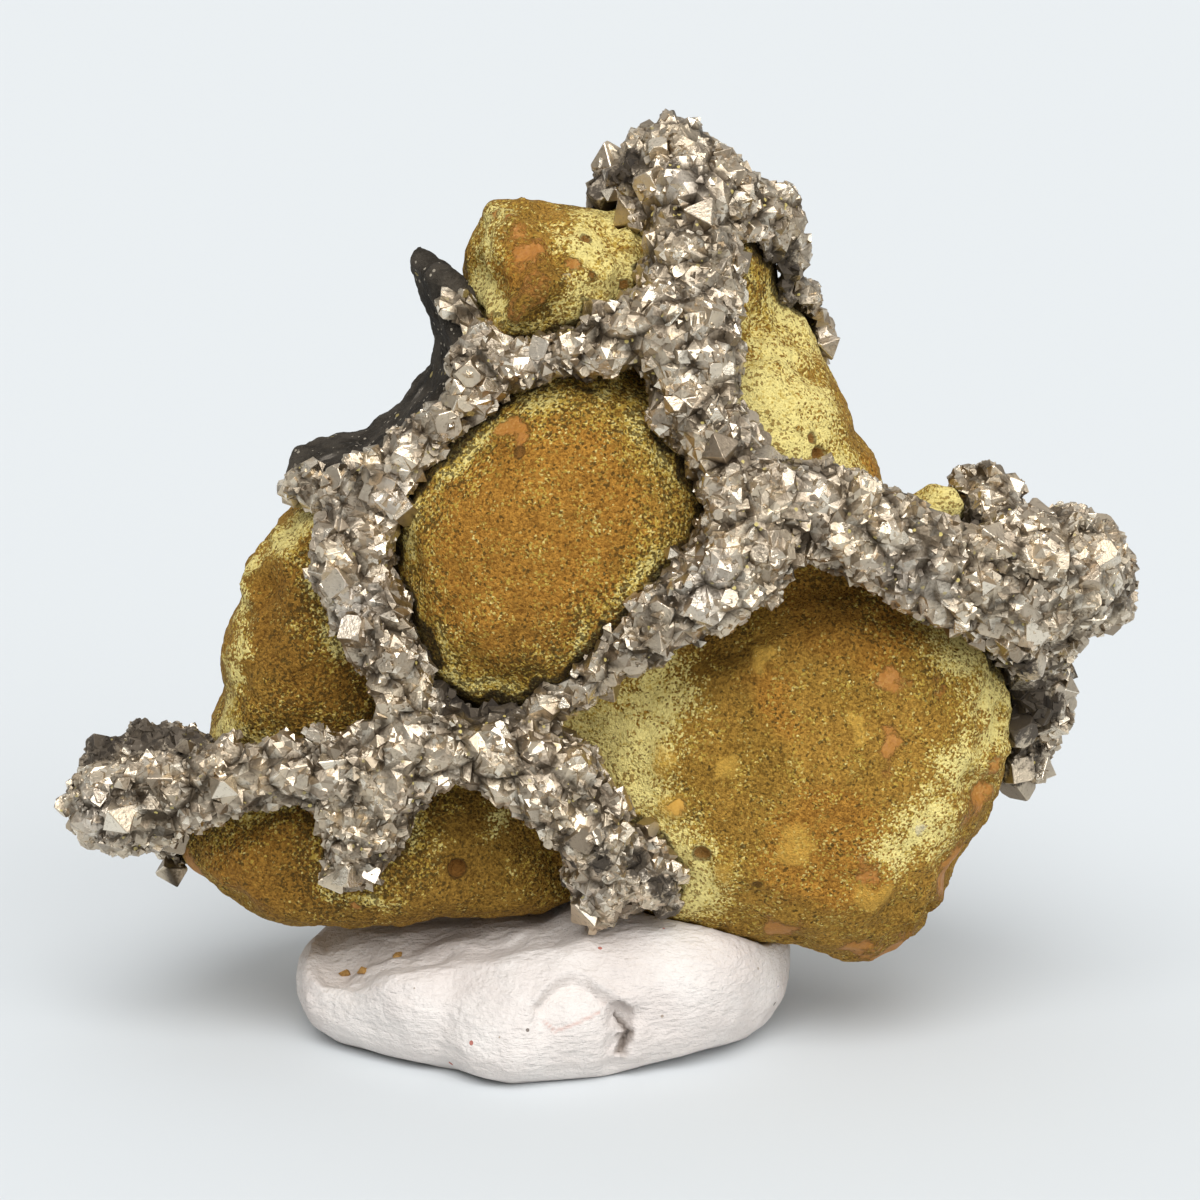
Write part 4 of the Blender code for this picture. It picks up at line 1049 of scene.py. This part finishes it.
class SPECIMEN_OT_pyrite(bpy.types.Operator):
    """Grow the ribs' crust of pyrite crystals, from large ones to fine ones"""

    bl_idname = "specimen.pyrite"
    bl_label = "Pyrite ribs"

    def execute(self, context):
        sizes = context.scene.specimen_crystals
        skin = rib_skin(sizes)
        mark_skin(skin, sizes.seed)
        skin_tree = BVHTree.FromObject(skin, context.evaluated_depsgraph_get())
        material = pyrite_material(sizes)
        large = crystal_shapes("large", ("octahedron",) * 3 + ("point", "cube", "cube"), 0.03)
        small = crystal_shapes("small", ("octahedron",) * 3 + ("point", "cube"))
        large_tree, small_tree = crust_tree(material, large), crust_tree(material, small)
        half, double = sizes.large * 0.50, sizes.fine * 2.0
        crops = (Crop("large_crystals", large_tree, sizes.large, 0.45, 2.0, 0.66, 0.26, 0.45, 8.0, "coarse"),
                 Crop("middling_crystals", small_tree, half, 0.5, 0.95, 0.58, 0.4, 0.5, 5.0, "middling"),
                 Crop("fine_crystals", small_tree, double, 0.5, 0.72, 0.40, 0.7, 0.5, 3.5, "everywhere"))
        for step, crop in enumerate(crops):
            crust = grow_crust(crop, skin, sizes.seed + 10 * step)
            mark_crystals(crust, skin_tree)
            finish_piece(crust, material, "pyrite_ribs")
        shown = shown_crystals()
        mark_crystals(shown, skin_tree)
        finish_piece(shown, material, "pyrite_ribs")
        finish_piece(skin, material, "pyrite_ribs", "pyrite_ribs")
        discard_shapes(large)
        discard_shapes(small)
        return {"FINISHED"}


# Spacing of the shale's surface mesh, in millimetres
SHALE_GRID = 0.27


class SPECIMEN_OT_shale(bpy.types.Operator):
    """Dress the curved wall of shale"""

    bl_idname = "specimen.shale"
    bl_label = "Shale wall"

    def execute(self, context):
        sizes = context.scene.specimen_shale
        shale = merged_copy("shale_wall", "shale")
        reskinned(shale, SHALE_GRID, 2)
        corners = corners_of(shale)
        heights = 0.26 * bumps(corners, 2.2, 6.0) + 0.16 * bumps(corners, 0.95, 9.0)
        heights += 0.07 * bumps(corners, 0.5, 2.0) + 0.3
        raise_surface(shale, heights)
        store(shale, "dusty", near_spots(corners, SHALE_DUST))
        shale.data.shade_smooth()
        finish_piece(shale, shale_material(sizes), "shale_wall", "shale_wall")
        return {"FINISHED"}


def kneaded(corners):
    """Heights of the putty's soft lumps, fibres and finger marks, in millimetres."""
    heights = 0.12 * bumps(corners, 3.0, 12.0)
    heights += 0.05 * bumps(corners, 0.8, 4.0, (5, 2, 1)) + 0.035 * bumps(corners, 0.5, 9.0, (6, 2, 1))
    for x, y, z, reach, depth in FINGER_MARKS:
        away = np.linalg.norm(corners - (x, y, z), axis=1) / reach
        heights -= depth * np.clip(1 - away ** 2, 0, 1) ** 1.5
    return heights


def thumb_dent(corners):
    """A mask of the thumb dent above its lip, faded out at both ends and towards the back."""
    x, y, z = corners.T
    dent = np.clip((z - height_of(corners, LIP) - 0.1) / 0.7, 0, 1) * np.clip((x + 27) / 0.8, 0, 1)
    return dent * (np.clip((-1.5 - x) / 5, 0, 1) * np.clip((3 - y) / 4, 0, 1))


def folded_flap(corners):
    """How far each corner is from the flap's edge, in millimetres, and a mask of the fold below it."""
    x, _, z = corners.T
    fold = np.clip((height_of(corners, FLAP) - z) / 0.3, 0, 1)
    fold *= np.clip((x + 6.2) / 0.6, 0, 1)
    fold *= np.clip((3.0 - x) / 0.6, 0, 1)
    return distance_to_path(corners, FLAP), fold


def torn_crack(corners):
    """How far each corner is from the crack, as a share of its ragged half width, widest in the middle."""
    ragged = np.maximum(0.15, 0.6 + 0.5 * bumps(corners, 0.7, 5.0))
    ragged *= np.interp(corners[:, 2], [1, 3.9, 6.2], [0.5, 1.05, 0.1])
    return distance_to_path(corners, CRACK) / ragged


def drop_crumbs(putty):
    """A few crumbs of the rock on the putty, as one mesh."""
    rng = random.Random(3)
    tree = BVHTree.FromObject(putty, bpy.context.evaluated_depsgraph_get())
    parts = []
    for x, y, size in CRUMBS:
        ground = tree.ray_cast(Vector((x, y, 30)) * MM, Vector((0, 0, -1)))[0]
        if ground is None:
            raise RuntimeError("A crumb has no putty below it")
        one = crystal(rng, "point")
        slant = Euler([rng.uniform(-0.4, 0.4), rng.uniform(-0.4, 0.4), rng.uniform(0, 6)]).to_matrix()
        shape = Matrix.Diagonal((1.0, 0.65, 0.5)) * size * MM
        place = Matrix.Translation(ground) @ (slant @ shape).to_4x4()
        bmesh.ops.transform(one, matrix=place, verts=one.verts)
        parts.append(one)
    return joined(parts, "ochre_crumbs")


# Below this height, in millimetres, the putty keeps the flat base of the solid
FLAT_BASE = 0.35


class SPECIMEN_OT_putty(bpy.types.Operator):
    """Dress the kneaded putty with its dent, flap, crack and fibres, and drop a few crumbs on it"""

    bl_idname = "specimen.putty"
    bl_label = "Mounting putty"

    def execute(self, context):
        sizes = context.scene.specimen_putty
        putty = merged_copy("mounting_putty", "putty")
        reskinned(putty, sizes.voxel, 12)
        corners = corners_of(putty)
        front = np.clip(-normals_of(putty)[:, 1] * 2, 0, 1)
        lip = distance_to_path(corners, [LIP_CURL] + LIP)
        dent = thumb_dent(corners)
        edge, fold = folded_flap(corners)
        crack = torn_crack(corners)
        red = distance_to_path(corners, RED_LINE)
        heights = kneaded(corners)
        heights += 0.6 * front * np.exp(-(lip / 0.75) ** 2)
        heights -= 0.8 * dent
        heights -= sizes.flap * front * fold * np.clip(1 - edge / 4.0, 0, 1) ** 1.2
        heights += 0.25 * front * np.clip(1 - edge / 1.2, 0, 1) * (1 - fold)
        heights -= 1.3 * front * np.clip(1 - crack, 0, 1)
        heights[corners[:, 2] < FLAT_BASE] = 0
        raise_surface(putty, heights)
        # Painted shade along the flap's fold and in the crack
        dark_fold = np.clip(1 - edge / 0.35, 0, 1) * 0.45 * fold
        store(putty, "crease", front * np.maximum(dark_fold, np.clip(1.25 - crack, 0, 1)))
        store(putty, "red_line", front * np.clip(1.2 - red / 0.16, 0, 1))
        # Dust and painted shade in the thumb dent
        store(putty, "dusty", 0.55 * dent)
        putty.data.shade_smooth()
        finish_piece(putty, putty_material(sizes), "mounting_putty", "mounting_putty")
        finish_piece(drop_crumbs(putty), crumb_material(), "ochre_matrix")
        return {"FINISHED"}


# Stage

# Strength of the sky from just below the horizon to its brightest, high up
SKY_GLOW = {"From Min": -0.05, "From Max": 0.6, "To Min": 0.10, "To Max": 0.66}
# The middle of the picture, in metres
MIDDLE = Vector((0.0, 0.0018, 0.040))
# Where the lights shine, and how soft they are in degrees
KEY_TOWARD, KEY_SOFTNESS = (0.08, 0.80, -1.0), 40
FILL_TOWARD, FILL_SOFTNESS = (-0.60, 0.8, -0.50), 50


def add_floor(colour):
    """A plain matt floor that reaches to the horizon."""
    bm = bmesh.new()
    bmesh.ops.create_grid(bm, x_segments=1, y_segments=1, size=6.0)
    floor = object_from(bm, "floor")
    material, _, shader = new_material("floor")
    shader.inputs["Base Color"].default_value = (*colour, 1)
    shader.inputs["Roughness"].default_value = 0.9
    shader.inputs["Specular IOR Level"].default_value = 0.0
    floor.data.materials.append(material)


def add_sky(scene):
    """A soft white sky, brightest high up."""
    world = bpy.data.worlds.new("studio")
    scene.world = world
    world.use_nodes = True
    tree = world.node_tree
    generated = linked(tree, "ShaderNodeTexCoord").outputs["Generated"]
    height = linked(tree, "ShaderNodeSeparateXYZ", {0: generated}).outputs["Z"]
    glow = linked(tree, "ShaderNodeMapRange", {"Value": height, **SKY_GLOW}, interpolation_type="SMOOTHSTEP")
    sky = tree.nodes["Background"]
    sky.inputs["Color"].default_value = (1.0, 0.995, 0.985, 1)
    tree.links.new(glow.outputs["Result"], sky.inputs["Strength"])


def add_light(scene, name, strength, toward, softness):
    """A soft light from far away."""
    lamp = bpy.data.lights.new(name, "SUN")
    lamp.energy = strength
    lamp.angle = math.radians(softness)
    light = bpy.data.objects.new(name, lamp)
    scene.collection.objects.link(light)
    light.rotation_euler = Vector(toward).to_track_quat("-Z", "Y").to_euler()


def add_camera(scene, sizes):
    """The camera of the photograph."""
    out = Vector((0, -math.cos(sizes.elevation), math.sin(sizes.elevation)))
    data = bpy.data.cameras.new("camera")
    data.lens = sizes.lens
    camera = bpy.data.objects.new("camera", data)
    scene.collection.objects.link(camera)
    camera.location = MIDDLE + out * sizes.distance
    camera.rotation_euler = (-out).to_track_quat("-Z", "Y").to_euler()
    scene.camera = camera


class SPECIMEN_OT_stage(bpy.types.Operator):
    """Set up the floor, the lights and the camera"""

    bl_idname = "specimen.stage"
    bl_label = "Stage"

    def execute(self, context):
        sizes = context.scene.specimen_stage
        scene = context.scene
        scene.view_settings.view_transform = "Standard"
        add_floor(sizes.backdrop)
        add_sky(scene)
        add_light(scene, "key", sizes.key, KEY_TOWARD, KEY_SOFTNESS)
        add_light(scene, "fill", sizes.fill, FILL_TOWARD, FILL_SOFTNESS)
        add_camera(scene, sizes)
        return {"FINISHED"}


class SPECIMEN_PT_panel(bpy.types.Panel):
    """The specimen's pieces and sizes"""

    bl_idname = "SPECIMEN_PT_panel"
    bl_label = "Pyrite specimen"
    bl_space_type = "VIEW_3D"
    bl_region_type = "UI"
    bl_category = "Specimen"

    def draw(self, context):
        for operator, group in OPERATORS.items():
            box = self.layout.box()
            values = getattr(context.scene, group)
            for name in values.__annotations__:
                box.prop(values, name)
            box.operator(operator)


CLASSES = (RockSizes, CrystalSizes, ShaleSizes, PuttySizes, StageSizes, SPECIMEN_OT_rock,
           SPECIMEN_OT_pyrite, SPECIMEN_OT_shale, SPECIMEN_OT_putty, SPECIMEN_OT_stage, SPECIMEN_PT_panel)
# The scene's settings, and the settings that each operator reads
GROUPS = {"specimen_rock": RockSizes, "specimen_crystals": CrystalSizes, "specimen_shale": ShaleSizes,
          "specimen_putty": PuttySizes, "specimen_stage": StageSizes}
OPERATORS = {"specimen.rock": "specimen_rock", "specimen.pyrite": "specimen_crystals",
             "specimen.shale": "specimen_shale", "specimen.putty": "specimen_putty",
             "specimen.stage": "specimen_stage"}


def register():
    """Registers the classes and the scene's settings."""
    for cls in CLASSES:
        bpy.utils.register_class(cls)
    for name, group in GROUPS.items():
        setattr(bpy.types.Scene, name, PointerProperty(type=group))


def unregister():
    """Takes away what register added."""
    for name in GROUPS:
        delattr(bpy.types.Scene, name)
    for cls in reversed(CLASSES):
        bpy.utils.unregister_class(cls)


def main():
    """Dresses the specimen."""
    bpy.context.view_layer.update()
    register()
    bpy.ops.specimen.rock()
    bpy.ops.specimen.pyrite()
    bpy.ops.specimen.shale()
    bpy.ops.specimen.putty()
    bpy.ops.specimen.stage()


if __name__ == "__main__":
    main()
